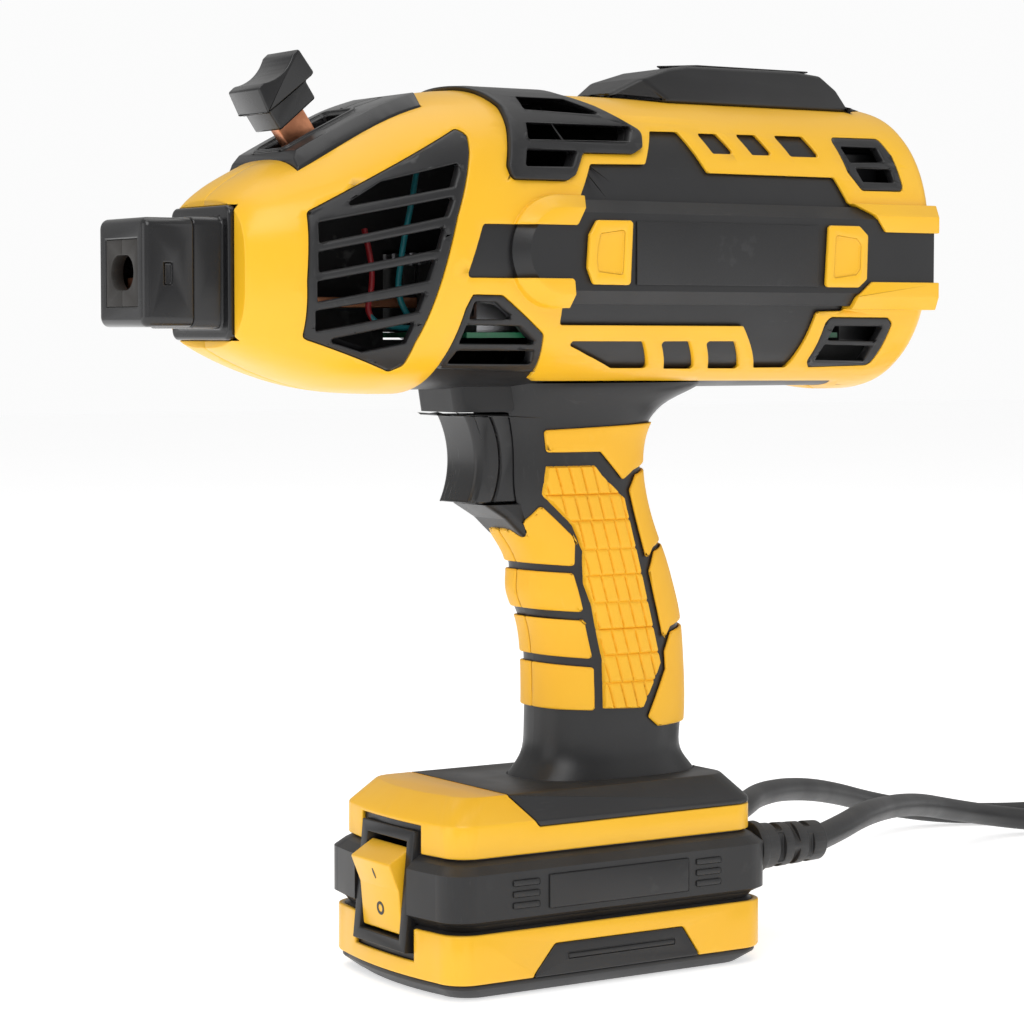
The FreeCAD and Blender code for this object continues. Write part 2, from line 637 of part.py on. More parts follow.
def badge_groove():
    """Oval groove behind the lever slot."""
    rings = []
    for grow in (0.0, 0.7):
        oval = Part.Ellipse(V(-68.0, 0, 255.0), 6.6 - grow, 4.6 - grow)
        rings.append(Part.Face(Part.Wire(oval.toShape())).extrude(V(0, 0, 30)))
    return rings[0].cut(rings[1]).cut(deck_slab(-0.6, 30.0))


def make_front_deck():
    """Flat-topped cover over the snout with the lever slot and its low rim."""
    deck = deck_slab(0.0, 21.8)
    long_edges = [e for e in deck.Edges if is_side_edge(e) and e.CenterOfMass.z > 255.0]
    deck = deck.makeChamfer(4.0, long_edges)
    front_edge = [e for e in deck.Edges if not is_side_edge(e) and e.CenterOfMass.z > 248.0
                  and e.CenterOfMass.x < -100.0 and abs(e.CenterOfMass.y) < 1.0]
    deck = deck.makeChamfer(1.8, front_edge)
    rim = deck_slab(1.0, 12.0).common(tilted_frame(14.4, 10.0, (-8.0, 8.0), 3.4))
    deck = deck.fuse(rim).cut(badge_groove()).cut(barrel(SKIN))
    ledge = deck_slab(3.0, 12.0).cut(deck_slab(0.0, 12.0))
    deck = deck.cut(ledge.common(tilted_frame(13.2, 8.7, (-8.0, 8.0), 2.4)))
    return deck.cut(tilted_frame(12.0, 7.2, (-16.0, 12.0), 1.6)).removeSplitter()


def make_display_housing():
    """Long low hump on the rear of the barrel that holds the display and its controls."""
    side = [(14.0, 262.0), (14.5, 273.5), (24.0, 279.0), (36.0, 282.8), (44.0, 284.0),
            (88.0, 284.2), (98.0, 283.2), (103.0, 278.5), (105.6, 272.0), (105.6, 262.0)]
    hump = slab(side, -19.0, 19.0, 3.0)
    plan = [V(12, -8, 260), V(34, -18.6, 260), V(106, -18.6, 260), V(106, 18.6, 260),
            V(34, 18.6, 260), V(12, 8, 260)]
    plan_face = Part.Face(Part.makePolygon(plan + plan[:1]))
    hump = hump.common(plan_face.extrude(V(0, 0, 30)))
    flank = Part.Face(Part.makePolygon([
        V(0, -19.0, 266), V(0, -17.5, 273), V(0, -11.5, 285), V(0, 11.5, 285), V(0, 17.5, 273),
        V(0, 19.0, 266), V(0, -19.0, 266)])).extrude(V(120, 0, 0))
    return hump.common(flank).cut(barrel(0.0))


def make_display_overlay():
    """Thin textured film on top of the display housing."""
    points = [V(41.0, 0, 284.2), V(50.0, -9.5, 284.2), V(95.0, -9.5, 284.2),
              V(98.0, 0, 284.2), V(95.0, 9.5, 284.2), V(50.0, 9.5, 284.2)]
    return Part.Face(Part.makePolygon(points + points[:1])).extrude(V(0, 0, 0.5))


def make_side_plates():
    """Blank rating plates let into both sides."""
    x, z = SIDE_PLATE_X, SIDE_PLATE_Z
    face = -(RAIL_FACE_Y - SKIN)
    return both_sides(box(x, (face - 0.6, face), z))


def make_side_clips():
    """Four raised clips, one at each end of each side plate."""
    face = -(RAIL_FACE_Y - SKIN)
    clips = []
    for points in SIDE_CLIPS:
        clip = slab(points, face - 1.7, face, 1.2)
        window = slab(grown(points, -4.2), face - 3.0, face - 0.9, 0.8)
        clips.append(clip.cut(window))
    return Part.makeCompound(clips + [mirrored(c) for c in clips])


def make_rear_grille():
    """Round grille over the fan in the rear wall."""
    centre = V(BARREL_REAR - SKIN - WALL, 0, FAN_AXIS_Z)
    disc = rod(centre, centre + V(2.6, 0, 0), 30.9)
    disc = disc.fuse(rod(centre + V(2.2, 0, 0), centre + V(3.3, 0, 0), 33.7))
    for radius in (9.0, 15.0, 21.0, 27.0):
        ring = tube(centre - V(1, 0, 0), centre + V(6, 0, 0), radius + 1.9, radius - 1.9)
        disc = disc.cut(ring)
    spokes = []
    for k in range(6):
        spoke = box((0, 2.6), (-1.2, 1.2), (5.0, 30.5))
        spoke.rotate(V(0, 0, 0), V(1, 0, 0), 60 * k + 30)
        spoke.translate(centre)
        spokes.append(spoke)
    return fused([disc] + spokes)


def nose_tube(x, half_w, half_h, radius):
    """Square tube with rounded corners round the electrode axis."""
    z0, z1 = NOSE_AXIS_Z - half_h, NOSE_AXIS_Z + half_h
    corners = [V(x[0], -half_w, z0), V(x[0], half_w, z0), V(x[0], half_w, z1),
               V(x[0], -half_w, z1)]
    solid = Part.Face(Part.makePolygon(corners + corners[:1])).extrude(V(x[1] - x[0], 0, 0))
    edges = [e for e in solid.Edges if abs(e.tangentAt(e.FirstParameter).x) > 0.99]
    return solid.makeFillet(radius, edges)


def make_nose_flange():
    """Flange and neck that carry the nose block on the snout."""
    half, floor, roof = NOSE_BORE
    neck = nose_tube((NOSE_GROOVE_X, FLANGE_X[1]), 14.8, 16.0, 2.5)
    plate = nose_tube(FLANGE_X, 18.4, 19.4, 3.0)
    plate = plate.makeFillet(1.0, [e for e in plate.Edges if e.BoundBox.XMax < FLANGE_X[0] + 0.01])
    return neck.fuse(plate).cut(box((-135, -110), (-half, half), (floor, roof)))


def make_nose_block():
    """Insulating block at the very front, open where the jaws and insulators sit."""
    half, floor, roof = NOSE_BORE
    block = nose_tube((NOSE_FRONT, NOSE_GROOVE_X), NOSE_HALF_W, NOSE_HALF_H, 3.0)
    block = block.makeFillet(2.2, [e for e in block.Edges if e.BoundBox.XMax < NOSE_FRONT + 0.01])
    block = block.cut(box((NOSE_FRONT + 4.4, -120), (-half, half), (floor, roof)))
    mouth, low, high = MOUTH
    block = block.cut(box((-150, -140), (-mouth, mouth), (low, high)))
    slot = box((-141.3, -139.0), (-16.0, -14.6), (213.2, 219.3))
    return block.cut(slot).cut(mirrored(slot))


def make_jaw_insulator(side):
    """One half of the split insulator with its half of the oval electrode hole."""
    mouth, low, high = MOUTH
    plate = box((NOSE_FRONT + 0.3, NOSE_FRONT + 4.4), (-mouth, mouth), (low, high))
    hole = rod(V(-150, -2.4, NOSE_AXIS_Z), V(-140, -2.4, NOSE_AXIS_Z), 5.0)
    hole = hole.fuse(mirrored(hole)).fuse(
        box((-150, -140), (-2.4, 2.4), (NOSE_AXIS_Z - 5, NOSE_AXIS_Z + 5)))
    return split(plate.cut(hole), side)


def electrode_groove():
    """Round groove that both jaws share along the electrode axis."""
    return rod(V(-150, 0, NOSE_AXIS_Z), V(-118, 0, NOSE_AXIS_Z), ELECTRODE_R)


def make_fixed_jaw():
    """Lower copper jaw, a bar that runs back to the output bus."""
    jaw = box((-142.8, -112.0), (-6.0, 6.0), (207.0, 215.4))
    tail = box((-113.0, -52.0), (-6.0, 6.0), (207.0, 210.2))
    return jaw.fuse(tail).cut(electrode_groove())


def make_clamp_lever():
    """Copper lever: upper jaw in front of its pivot, thumb bar above it."""
    half = LEVER_THICK / 2
    bar = slab([(-102.0, 264.9), (-93.7, 271.9), (-82.5, 256.0), (-84.5, 246.0), (-96.0, 231.0),
                (-110.0, 233.0), (-104.0, 243.0), (-95.0, 247.0), (-94.0, 254.5)],
               -half, half)
    arm = slab([(-108.0, 242.0), (-114.0, 229.0), (-122.0, 224.2), (-140.0, 221.4), (-140.0, 218.0),
                (-122.0, 218.0), (-98.0, 230.0)], -half, half)
    tip = slab([(-130.0, 222.0), (-140.0, 221.4), (-140.0, 218.0), (-128.0, 218.0)], -5.0, 5.0)
    lever = fused([bar, arm, tip]).cut(electrode_groove())
    pin = rod(LEVER_PIVOT - V(0, 9, 0), LEVER_PIVOT + V(0, 9, 0), LEVER_PIN_R + 0.05)
    return lever.cut(pin)


def make_lever_knob():
    """Thumb knob: saddle-topped block on a smaller collar, moulded over the bar."""
    side = [(-108.1, 270.3), (-94.5, 282.6), (-89.3, 275.9), (-91.0, 273.3), (-87.8, 268.5),
            (-99.6, 258.5), (-103.3, 263.8), (-104.5, 263.2)]
    block = slab(side, -9.4, 9.4, 0.8)
    scoop = rod(V(-108.6, -20, 284.4), V(-108.6, 20, 284.4), 12.6)
    collar_cut = [slab([(-100.6, 256.0), (-85.0, 268.5), (-89.8, 275.0), (-105.4, 262.6)],
                       -12.0, -7.6)]
    collar_cut.append(mirrored(collar_cut[0]))
    block = block.cut(scoop)
    for cutter in collar_cut:
        block = block.cut(cutter)
    half = LEVER_THICK / 2
    socket = slab([(-102.0, 264.9), (-93.7, 271.9), (-86.0, 261.0), (-95.0, 254.0)], -half, half)
    return block.cut(socket)


def make_lever_pin():
    """Steel pivot pin of the clamp lever."""
    return rod(LEVER_PIVOT - V(0, 11, 0), LEVER_PIVOT + V(0, 11, 0), LEVER_PIN_R)


def make_lever_bracket():
    """Pair of cheeks that hold the lever's pivot pin above the fixed jaw."""
    cheek = slab([(-116.0, 210.6), (-92.0, 210.6), (-92.0, 241.0), (-108.0, 241.0),
                  (-116.0, 235.0)], -11.0, -6.4, 2.0)
    base = box((-116.0, -92.0), (-11.0, 11.0), (203.4, 207.0))
    side = box((-116.0, -92.0), (-11.0, -6.4), (203.4, 211.0))
    leg = box((-112.0, -96.0), (-11.0, -6.4), (180.0, 204.0)).common(barrel(SKIN + WALL))
    bracket = fused([cheek, side, base, leg] + [mirrored(p) for p in (cheek, side, leg)])
    return bracket.cut(rod(LEVER_PIVOT - V(0, 12, 0), LEVER_PIVOT + V(0, 12, 0), LEVER_PIN_R))


def make_lever_spring():
    """Spring between the fixed jaw's tail and the back of the lever."""
    x = -92.5
    return spring_sleeve(V(x, 0, 210.3), V(x, 0, 230.8), 3.5, 1.0)


def spring_sleeve(start, end, outer, wire):
    """Outer form of a coil spring, a thin sleeve of its wire's thickness."""
    return tube(start, end, outer, outer - wire)


def trigger_front(x_shift):
    """Cylinder whose side is the trigger's hollow front, moved back by a shift."""
    x = TRIGGER_WAIST_X - TRIGGER_HOLLOW_R + x_shift
    return rod(V(x, -20.0, 160.0), V(x, 20.0, 160.0), TRIGGER_HOLLOW_R)


def make_trigger():
    """Curved trigger blade with a rear block that slides in the grip."""
    half = TRIGGER_HALF_W
    blade = box((-40.0, -15.0), (-half, half), (147.3, 174.5)).cut(trigger_front(0.0))
    sides = [e for e in blade.Edges if e.Length > 20.0 and e.CenterOfMass.x < -30.0]
    blade = blade.makeFillet(2.4, sides)
    crease = trigger_front(8.6).cut(trigger_front(8.0)).common(
        box((-40.0, -20.0), (-half - 1, -half + 0.6), (140.0, 180.0)))
    blade = blade.cut(crease).cut(mirrored(crease))
    stem_end = SWITCH_BUTTON_X - 0.4 - TRIGGER_TRAVEL
    stem = box((-16.0, stem_end), (-2.5, 2.5), (160.0, 165.0))
    spring_seat = rod(V(-19.0, 0, 153.0), V(-10.0, 0, 153.0), 3.4)
    return blade.fuse(stem).cut(spring_seat)


def make_trigger_spring():
    """Return spring between the trigger and the micro switch's bracket."""
    return spring_sleeve(V(-18.9, 0, 153.0), V(-3.1, 0, 153.0), 3.0, 0.8)


def make_trigger_switch():
    """Micro switch behind the trigger, with its three terminals."""
    body = box((-3.0, 7.0), (-3.2, 3.2), (149.0, 170.0))
    button = box((SWITCH_BUTTON_X, -3.0), (-1.2, 1.2), (161.0, 164.0))
    blades = [box((7.0, 11.0), (-0.4, 0.4), (z, z + 3.2)) for z in (151.0, 158.0, 165.0)]
    return fused([body, button] + blades)


def make_switch_body():
    """Rocker switch frame and body in the front of the base."""
    low, high = SWITCH_Z
    half = (high - low) / 2
    frame = box((-1.6, 2.4), (-SWITCH_HALF_W, SWITCH_HALF_W), (-half, half))
    body = box((2.4, 20.0), (-SWITCH_HALF_W + 2.2, SWITCH_HALF_W - 2.2), (-half + 2.2, half - 2.2))
    well = box((-6.0, 14.0), (-ROCKER_HALF_W - 0.3, ROCKER_HALF_W + 0.3), (-14.9, 14.9))
    blades = [box((20.0, 27.0), (-8.0 + 10 * k, -3.0 + 10 * k), (z, z + 0.8))
              for k in (0, 1) for z in (-8.0, 7.0)]
    solid = at_switch(fused([frame, body] + blades).cut(well))
    pin = rod(ROCKER_PIVOT - V(0, 12.9, 0), ROCKER_PIVOT + V(0, 12.9, 0), 1.2)
    return solid.fuse(pin)


def make_rocker():
    """Two-position rocker with a hollow front, pivoting on the switch body's pin."""
    side = [(-66.0, 38.9), (-62.6, 30.5), (-61.4, 16.9), (-55.0, 17.4), (-49.5, 30.0),
            (-57.8, 43.7)]
    rocker = slab(side, -ROCKER_HALF_W, ROCKER_HALF_W, 0.8)
    return rocker.cut(rod(ROCKER_PIVOT - V(0, 15, 0), ROCKER_PIVOT + V(0, 15, 0), 1.28))


def make_base_upper_cover():
    """Yellow band round the top of the base, with the yellow front of its deck."""
    outer = base_block([(UPPER_LOW, UPPER_INSET), (UPPER_HIGH, UPPER_INSET),
                        (BASE_TOP, UPPER_INSET + 6.4)])
    band = outer.cut(base_core_outer()).cut(box((-70, 70), (-50, 50), (0, UPPER_LOW)))
    slope = slab([(-34.0, BASE_TOP + 5), (-34.0, BASE_TOP - 0.5), (-26.5, 50.4), (90.0, 50.8),
                  (90.0, BASE_TOP + 5)], -60, 60)
    band = band.cut(slope).cut(grip_form(-0.1))
    return band.cut(at_switch(switch_recess(2.0, 12.0)))


def make_base_deck():
    """Black cap on the rear of the base top, round the foot of the grip."""
    outer = base_block([(UPPER_LOW, UPPER_INSET), (UPPER_HIGH, UPPER_INSET),
                        (BASE_TOP, UPPER_INSET + 6.4)])
    cap = outer.cut(base_core_outer())
    region = slab([(-33.9, BASE_TOP + 5), (-33.9, BASE_TOP - 0.4), (-26.4, 50.5), (90.0, 50.9),
                   (90.0, BASE_TOP + 5)], -60, 60)
    return cap.common(region).cut(grip_form(-0.1))


def make_base_lower_cover():
    """Yellow band round the bottom of the base."""
    band = base_block([(FOOT_TOP, 0.3), (FOOT_TOP + 0.8, 0.0), (LOWER_TOP, 0.0)])
    band = band.cut(base_block([(FOOT_TOP - 1, 1.5), (LOWER_TOP + 1, 1.5)]))
    tabs = slab(BASE_TAB, -60.0, -34.0, 2.0)
    return band.cut(at_switch(switch_recess(2.0, 12.0))).cut(tabs).cut(mirrored(tabs))


def make_base_tabs():
    """Black latch tabs that rise from the foot into the lower band."""
    tab = slab(grown(BASE_TAB, -0.4), -BASE_Y + 0.0, -BASE_Y + 1.5, 1.6)
    tab = tab.common(box((-60, 60), (-60, 0), (FOOT_TOP, 30)))
    rib = box((-18.0, 22.0), (-BASE_Y - 0.5, -BASE_Y + 0.1), (9.6, 11.4))
    return both_sides(tab.fuse(rib))


def make_base_foot():
    """Rubber tray under the base with a bevelled edge."""
    return base_block([(0.0, 5.2), (3.6, 0.9), (FOOT_TOP, 0.9)]).cut(
        base_block([(FOOT_TOP - 1.4, 4.5), (FOOT_TOP + 1, 4.5)]))


def make_base_plates():
    """Blank plates and grip ribs on the waist of the base, both sides."""
    face = -(BASE_Y + WAIST_OUT)
    plate = box((-25.5, 26.5), (face - 0.5, face), (26.0, 36.4))
    ribs = [box((x, x + 9.5), (face - 0.5, face), (z, z + 1.9))
            for x in (-38.5, 29.5) for z in (27.0, 30.4, 33.8)]
    return Part.makeCompound([plate] + ribs + [mirrored(s) for s in [plate] + ribs])


def make_grip_pads(side):
    """Yellow soft pads moulded on one side of the grip."""
    layer = grip_form(-1.1).cut(grip_form(0.0)).cut(trigger_housing())
    pads = []
    for points in GRIP_PADS.values():
        pad = layer.common(slab(points, -40.0, -0.15, 1.0))
        pads += pad.Solids
    group = Part.makeCompound(pads)
    return group if side < 0 else mirrored(group)


def make_strain_relief(start):
    """Tapered, ringed cord bush in the rear wall of the base, at the cord's first point."""
    y, z = start[1:]
    wall = V(BASE_X - 5.5, y, z)
    root = BASE_X + WAIST_OUT + 0.1
    cone = Part.makeCone(7.6, 6.4, RELIEF_END_X - root, V(root, y, z), V(1, 0, 0))
    collar = rod(wall, V(BASE_X + 2.4, y, z), 5.6)
    bush = cone.fuse(collar).fuse(rod(V(root, y, z), V(BASE_X + 4.0, y, z), 8.4))
    for k in range(3):
        x = BASE_X + 9.0 + 6.0 * k
        for turn in (0, 90, 180, 270):
            slot = box((x, x + 2.4), (-4.6, 4.6), (5.3, 9.0))
            slot.rotate(V(0, 0, 0), V(1, 0, 0), turn + 45 * (k % 2))
            slot.translate(V(0, y, z))
            bush = bush.cut(slot)
    return bush


def relief_hole(start):
    """Hole in the base's rear wall for a cord bush."""
    y, z = start[1:]
    return rod(V(BASE_X - 12, y, z), V(BASE_X + 1.2, y, z), 5.7)


def make_fan_frame():
    """Square fan frame with its hub and three struts."""
    x0, x1 = FAN_X
    frame = box((x0, x1), (-FAN_HALF, FAN_HALF), (FAN_AXIS_Z - FAN_HALF, FAN_AXIS_Z + FAN_HALF))
    axis = V(x0, 0, FAN_AXIS_Z)
    frame = frame.cut(rod(axis - V(1, 0, 0), axis + V(20, 0, 0), 28.6))
    hub = rod(V(x1 - 3.5, 0, FAN_AXIS_Z), V(x1, 0, FAN_AXIS_Z), 12.0)
    struts = []
    for k in range(3):
        strut = box((x1 - 3.0, x1), (-1.6, 1.6), (10.0, 29.5))
        strut.rotate(V(0, 0, 0), V(1, 0, 0), 120 * k + 20)
        strut.translate(V(0, 0, FAN_AXIS_Z))
        struts.append(strut)
    shaft = rod(V(x0 + 2.0, 0, FAN_AXIS_Z), V(x1 - 3.0, 0, FAN_AXIS_Z), 1.5)
    return fused([frame, hub, shaft] + struts)


def make_fan_rotor():
    """Fan rotor: hub cup and seven raked blades."""
    x0, x1 = FAN_X
    hub = rod(V(x0 + 0.8, 0, FAN_AXIS_Z), V(x1 - 4.2, 0, FAN_AXIS_Z), 11.5)
    blades = []
    for k in range(7):
        blade = box((-5.0, 5.0), (-0.7, 0.7), (10.5, 27.6))
        blade.rotate(V(0, 0, 0), V(0, 0, 1), 38)
        blade.rotate(V(0, 0, 0), V(1, 0, 0), 360 / 7 * k)
        blade.translate(V((x0 + x1 - 3.4) / 2, 0, FAN_AXIS_Z))
        blades.append(blade)
    rotor = fused([hub] + blades)
    return rotor.cut(rod(V(x0 - 1, 0, FAN_AXIS_Z), V(x1, 0, FAN_AXIS_Z), 1.56))


def make_main_board():
    """Power circuit board lying along the barrel."""
    return box((-52.0, 88.0), (-34.0, 34.0), (BOARD_TOP - 1.6, BOARD_TOP))


HEATSINKS_X = (-46.0, -7.0)


def make_heatsink(x):
    """Finned aluminium block across the board."""
    length, pitch, count = 34.0, 5.3, 12
    low, root, top = BOARD_TOP + 0.1, BOARD_TOP + 4.8, BOARD_TOP + 24.4
    block = box((x, x + length), (-30.0, 30.0), (low, root))
    rows = [-30.0 + pitch * k for k in range(count)]
    return fused([block] + [box((x, x + length), (y, y + 1.6), (root - 0.5, top)) for y in rows])


def make_transformer_core():
    """Ferrite E-core of the inverter transformer."""
    core = box((34.0, 64.0), (-17.0, 17.0), (BOARD_TOP + 0.1, 229.0))
    for y in (-12.0, 5.0):
        core = core.cut(box((33.0, 65.0), (y, y + 7.0), (204.5, 224.0)))
    return core


def make_transformer_winding():
    """Copper foil winding round the core's middle leg."""
    outer = box((29.5, 68.5), (-11.7, 11.7), (205.0, 223.6))
    return outer.cut(box((33.9, 64.1), (-5.1, 5.1), (200.0, 230.0)))


def make_capacitors():
    """Three bus capacitors at the rear of the board."""
    x, low, high = 78.5, BOARD_TOP + 0.1, 229.0
    return Part.makeCompound([rod(V(x, y, low), V(x, y, high), 8.6) for y in (-20.0, 0.0, 20.0)])


def make_power_modules():
    """Four power transistors standing against the heatsinks."""
    return Part.makeCompound([
        box((x, x + 4.6), (y, y + 15.6), (BOARD_TOP + 0.1, BOARD_TOP + 20.4))
        for x in (-51.2, -11.9) for y in (-20.0, 4.0)])


def make_air_guide():
    """Thin insulating sheet that parts the jaws from the power side and guides the air."""
    sheet = slab([(-84.0, 180.0), (0.0, 180.0), (0.0, 197.4), (-53.0, 197.4), (-53.0, 225.0),
                  (0.0, 225.0), (0.0, 266.0), (-70.0, 266.0), (-94.0, 250.0), (-94.0, 199.0),
                  (-84.0, 197.0)], 13.0, 13.8)
    return sheet.common(barrel(SKIN + WALL + 0.4))


def make_signal_wires():
    """Two thin insulated wires that rise from the board beside the lever bracket."""
    wires = []
    for route in WIRE_ROUTES:
        path, _ = cord_path(route)
        first, second = V(*route[0]), V(*route[1])
        section = Part.Wire(Part.makeCircle(WIRE_D / 2, first, second - first))
        wires.append(path.makePipeShell([section], True, False))
    return Part.makeCompound(wires)


def make_case_screws():
    """Self-tapping screws that join the two clamshell halves."""
    screws = []
    for x, z in SCREWS:
        head = rod(V(x, SCREW_REACH, z), V(x, SCREW_REACH + 3.0, z), 2.8)
        shank = rod(V(x, -SCREW_REACH, z), V(x, SCREW_REACH, z), 1.5)
        screws.append(head.fuse(shank))
    return Part.makeCompound(screws)


def make_coil(centre):
    """Outer form of a put-away coil: a flat ring on the surface below."""
    x, y = centre
    outer = COIL_RADII[-1] + CORD_D / 2
    inner = COIL_RADII[0] - CORD_D / 2
    return tube(V(x, y, 0), V(x, y, COIL_HEIGHT), outer, inner)


def make_mains_plug():
    """Three-pin mains plug lying on its coil, at the end of the last turn."""
    x, y = MAINS_COIL
    body = box((34.0, 62.0), (-13.0, 13.0), (-10.5, 10.5))
    long_edges = [e for e in body.Edges if abs(e.tangentAt(e.FirstParameter).x) > 0.9]
    body = body.makeFillet(4.0, long_edges)
    sleeve = Part.makeCone(5.4, 9.0, 34.5, V(0, 0, 0), V(1, 0, 0))
    blades = [box((61.0, 78.0), (side * 6.35 - 0.8, side * 6.35 + 0.8), (-0.8, 5.6))
              for side in (-1, 1)]
    ground = rod(V(61.0, 0, -6.0), V(80.0, 0, -6.0), 2.4)
    plug = fused([body, sleeve, ground] + blades)
    plug.rotate(V(0, 0, 0), V(0, 1, 0), -PLUG_TILT)
    plug.rotate(V(0, 0, 0), V(0, 0, 1), 180.0)
    plug.translate(V(x, y, 0) + PLUG_START)
    return plug


def place_clamp(shape):
    """Lay an earth clamp piece on the surface beside its coil."""
    placed = shape.copy()
    placed.rotate(V(0, 0, 0), V(0, 0, 1), CLAMP_HEADING)
    placed.translate(CLAMP_ORIGIN)
    return placed


def clamp_arm(side, ears):
    """One flat-lying arm of the earth clamp; ears are the heights of its pivot rings."""
    points = [(0.0, 21.0), (28.0, 15.5), (46.0, 9.5), (72.0, 8.0), (92.0, 12.0), (104.0, 3.0),
              (104.0, 0.3), (92.0, 0.3), (84.0, 3.0), (66.0, 3.0), (58.0, 0.6), (48.0, 1.6),
              (28.0, 9.0), (0.0, 13.0)]
    edge = [V(x, side * y, 0) for x, y in points]
    arm = Part.Face(Part.makePolygon(edge + edge[:1])).extrude(V(0, 0, CLAMP_THICK))
    eye = V(CLAMP_PIVOT_X, 0, 0)
    levels = [0.0, 5.6, 14.4, CLAMP_THICK]
    for low, high in zip(levels, levels[1:]):
        level = rod(eye + V(0, 0, low), eye + V(0, 0, high), 6.4)
        if low in ears:
            arm = arm.fuse(rod(eye + V(0, 0, low + GAP / 2), eye + V(0, 0, high - GAP / 2), 6.1))
        else:
            arm = arm.cut(level)
    return arm.cut(rod(eye - V(0, 0, 1), eye + V(0, 0, 30), CLAMP_PIN_R + 0.06))


def make_clamp_lower():
    """Fixed arm of the earth clamp with the cable's sleeve on its handle."""
    arm = clamp_arm(-1, (0.0, 14.4))
    sleeve = Part.makeCone(5.4, 7.4, 30.0, V(-26.0, -17.0, CLAMP_THICK / 2), V(1, 0, 0))
    return place_clamp(arm.fuse(sleeve))


def make_clamp_upper():
    """Moving arm of the earth clamp."""
    return place_clamp(clamp_arm(1, (5.6,)))


def make_clamp_pin():
    """Rivet that the clamp's moving arm turns on."""
    eye = V(CLAMP_PIVOT_X, 0, 0.2)
    return place_clamp(rod(eye, eye + V(0, 0, CLAMP_THICK + 1.0), CLAMP_PIN_R))


def make_clamp_spring():
    """Outer form of the spring that holds the clamp shut."""
    x, z = 30.0, CLAMP_THICK / 2
    return place_clamp(spring_sleeve(V(x, -6.2, z), V(x, 6.2, z), 4.8, 1.4))


def screw_bosses():
    """Bosses that the case screws run through."""
    posts = [rod(V(x, -40, z), V(x, 40, z), SCREW_BOSS_R) for x, z in SCREWS]
    limit = fused([hull_form(SKIN + 0.4), grip_form(0.4)])
    return [post.common(limit) for post in posts]


def build():
    """Write every piece to its own STEP file."""
    shell = make_shell()
    cover = make_cover()
    pieces = {
        "main_shell_left": shell,
        "main_shell_right": screw_access(mirrored(shell)),
        "barrel_cover_left": cover,
        "barrel_cover_right": screw_access(mirrored(cover)),
        "grip_pads_left": make_grip_pads(-1),
        "grip_pads_right": make_grip_pads(1),
        "base_upper_cover": make_base_upper_cover(),
        "base_deck": make_base_deck(),
        "base_lower_cover": make_base_lower_cover(),
        "base_foot": make_base_foot(),
        "base_tabs": make_base_tabs(),
        "base_plates": make_base_plates(),
        "top_vent_cap": make_top_cap(),
        "front_deck": make_front_deck(),
        "display_housing": make_display_housing(),
        "display_overlay": make_display_overlay(),
        "side_plates": make_side_plates(),
        "side_clips": make_side_clips(),
        "rear_grille": make_rear_grille(),
        "nose_flange": make_nose_flange(),
        "nose_block": make_nose_block(),
        "jaw_insulator_left": make_jaw_insulator(-1),
        "jaw_insulator_right": make_jaw_insulator(1),
        "fixed_jaw": make_fixed_jaw(),
        "clamp_lever": make_clamp_lever(),
        "lever_knob": make_lever_knob(),
        "lever_pin": make_lever_pin(),
        "lever_bracket": make_lever_bracket(),
        "lever_spring": make_lever_spring(),
        "trigger": make_trigger(),
        "trigger_spring": make_trigger_spring(),
        "trigger_switch": make_trigger_switch(),
        "rocker_switch_body": make_switch_body(),
        "rocker": make_rocker(),
        "fan_frame": make_fan_frame(),
        "fan_rotor": make_fan_rotor(),
        "main_board": make_main_board(),
        "heatsinks": Part.makeCompound([make_heatsink(x) for x in HEATSINKS_X]),
        "transformer_core": make_transformer_core(),
        "transformer_winding": make_transformer_winding(),
        "bus_capacitors": make_capacitors(),
        "power_modules": make_power_modules(),
        "air_guide": make_air_guide(),
        "signal_wires": make_signal_wires(),
        "case_screws": make_case_screws(),
        "strain_relief_mains": make_strain_relief(MAINS_ROUTE[0]),
        "strain_relief_earth": make_strain_relief(EARTH_ROUTE[0]),
        "mains_cord": cord("mains_cord", MAINS_ROUTE),
        "mains_coil": make_coil(MAINS_COIL),
        "mains_plug": make_mains_plug(),
        "earth_cable": cord("earth_cable", EARTH_ROUTE),
        "earth_coil": make_coil(EARTH_COIL),
        "earth_clamp_lower": make_clamp_lower(),
        "earth_clamp_upper": make_clamp_upper(),
        "earth_clamp_pin": make_clamp_pin(),
        "earth_clamp_spring": make_clamp_spring(),
    }
    grille = vent_insert(FRONT_GRILLE, FRONT_SLOTS)
    pieces["front_grille_left"] = grille
    pieces["front_grille_right"] = mirrored(grille)
    belly = vent_insert(BELLY_VENT, BELLY_SLOTS)
    pieces["belly_vents"] = Part.makeCompound([belly, mirrored(belly)])
    upper = vent_insert(REAR_UPPER_VENT, REAR_UPPER_SLOTS)
    lower = vent_insert(REAR_LOWER_VENT, REAR_LOWER_SLOTS)
    pieces["rear_vents"] = Part.makeCompound([upper, lower, mirrored(upper), mirrored(lower)])
    os.makedirs("parts", exist_ok=True)
    for name, shape in pieces.items():
        shape.exportStep("parts/" + name + ".step")
        print(name, "solids", len(shape.Solids), "valid", shape.isValid(),
              "volume", round(shape.Volume / 1000, 2))


build()
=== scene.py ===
"""A hand-held inverter stick welder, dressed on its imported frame.

The barrel, grip and base come from the frame's own nodes or from finer pieces
built here over them. Both leads run out to neat coils beside the machine.
"""

import json
import logging
import math
from collections.abc import Callable, Sequence
from dataclasses import dataclass, field
from enum import Enum

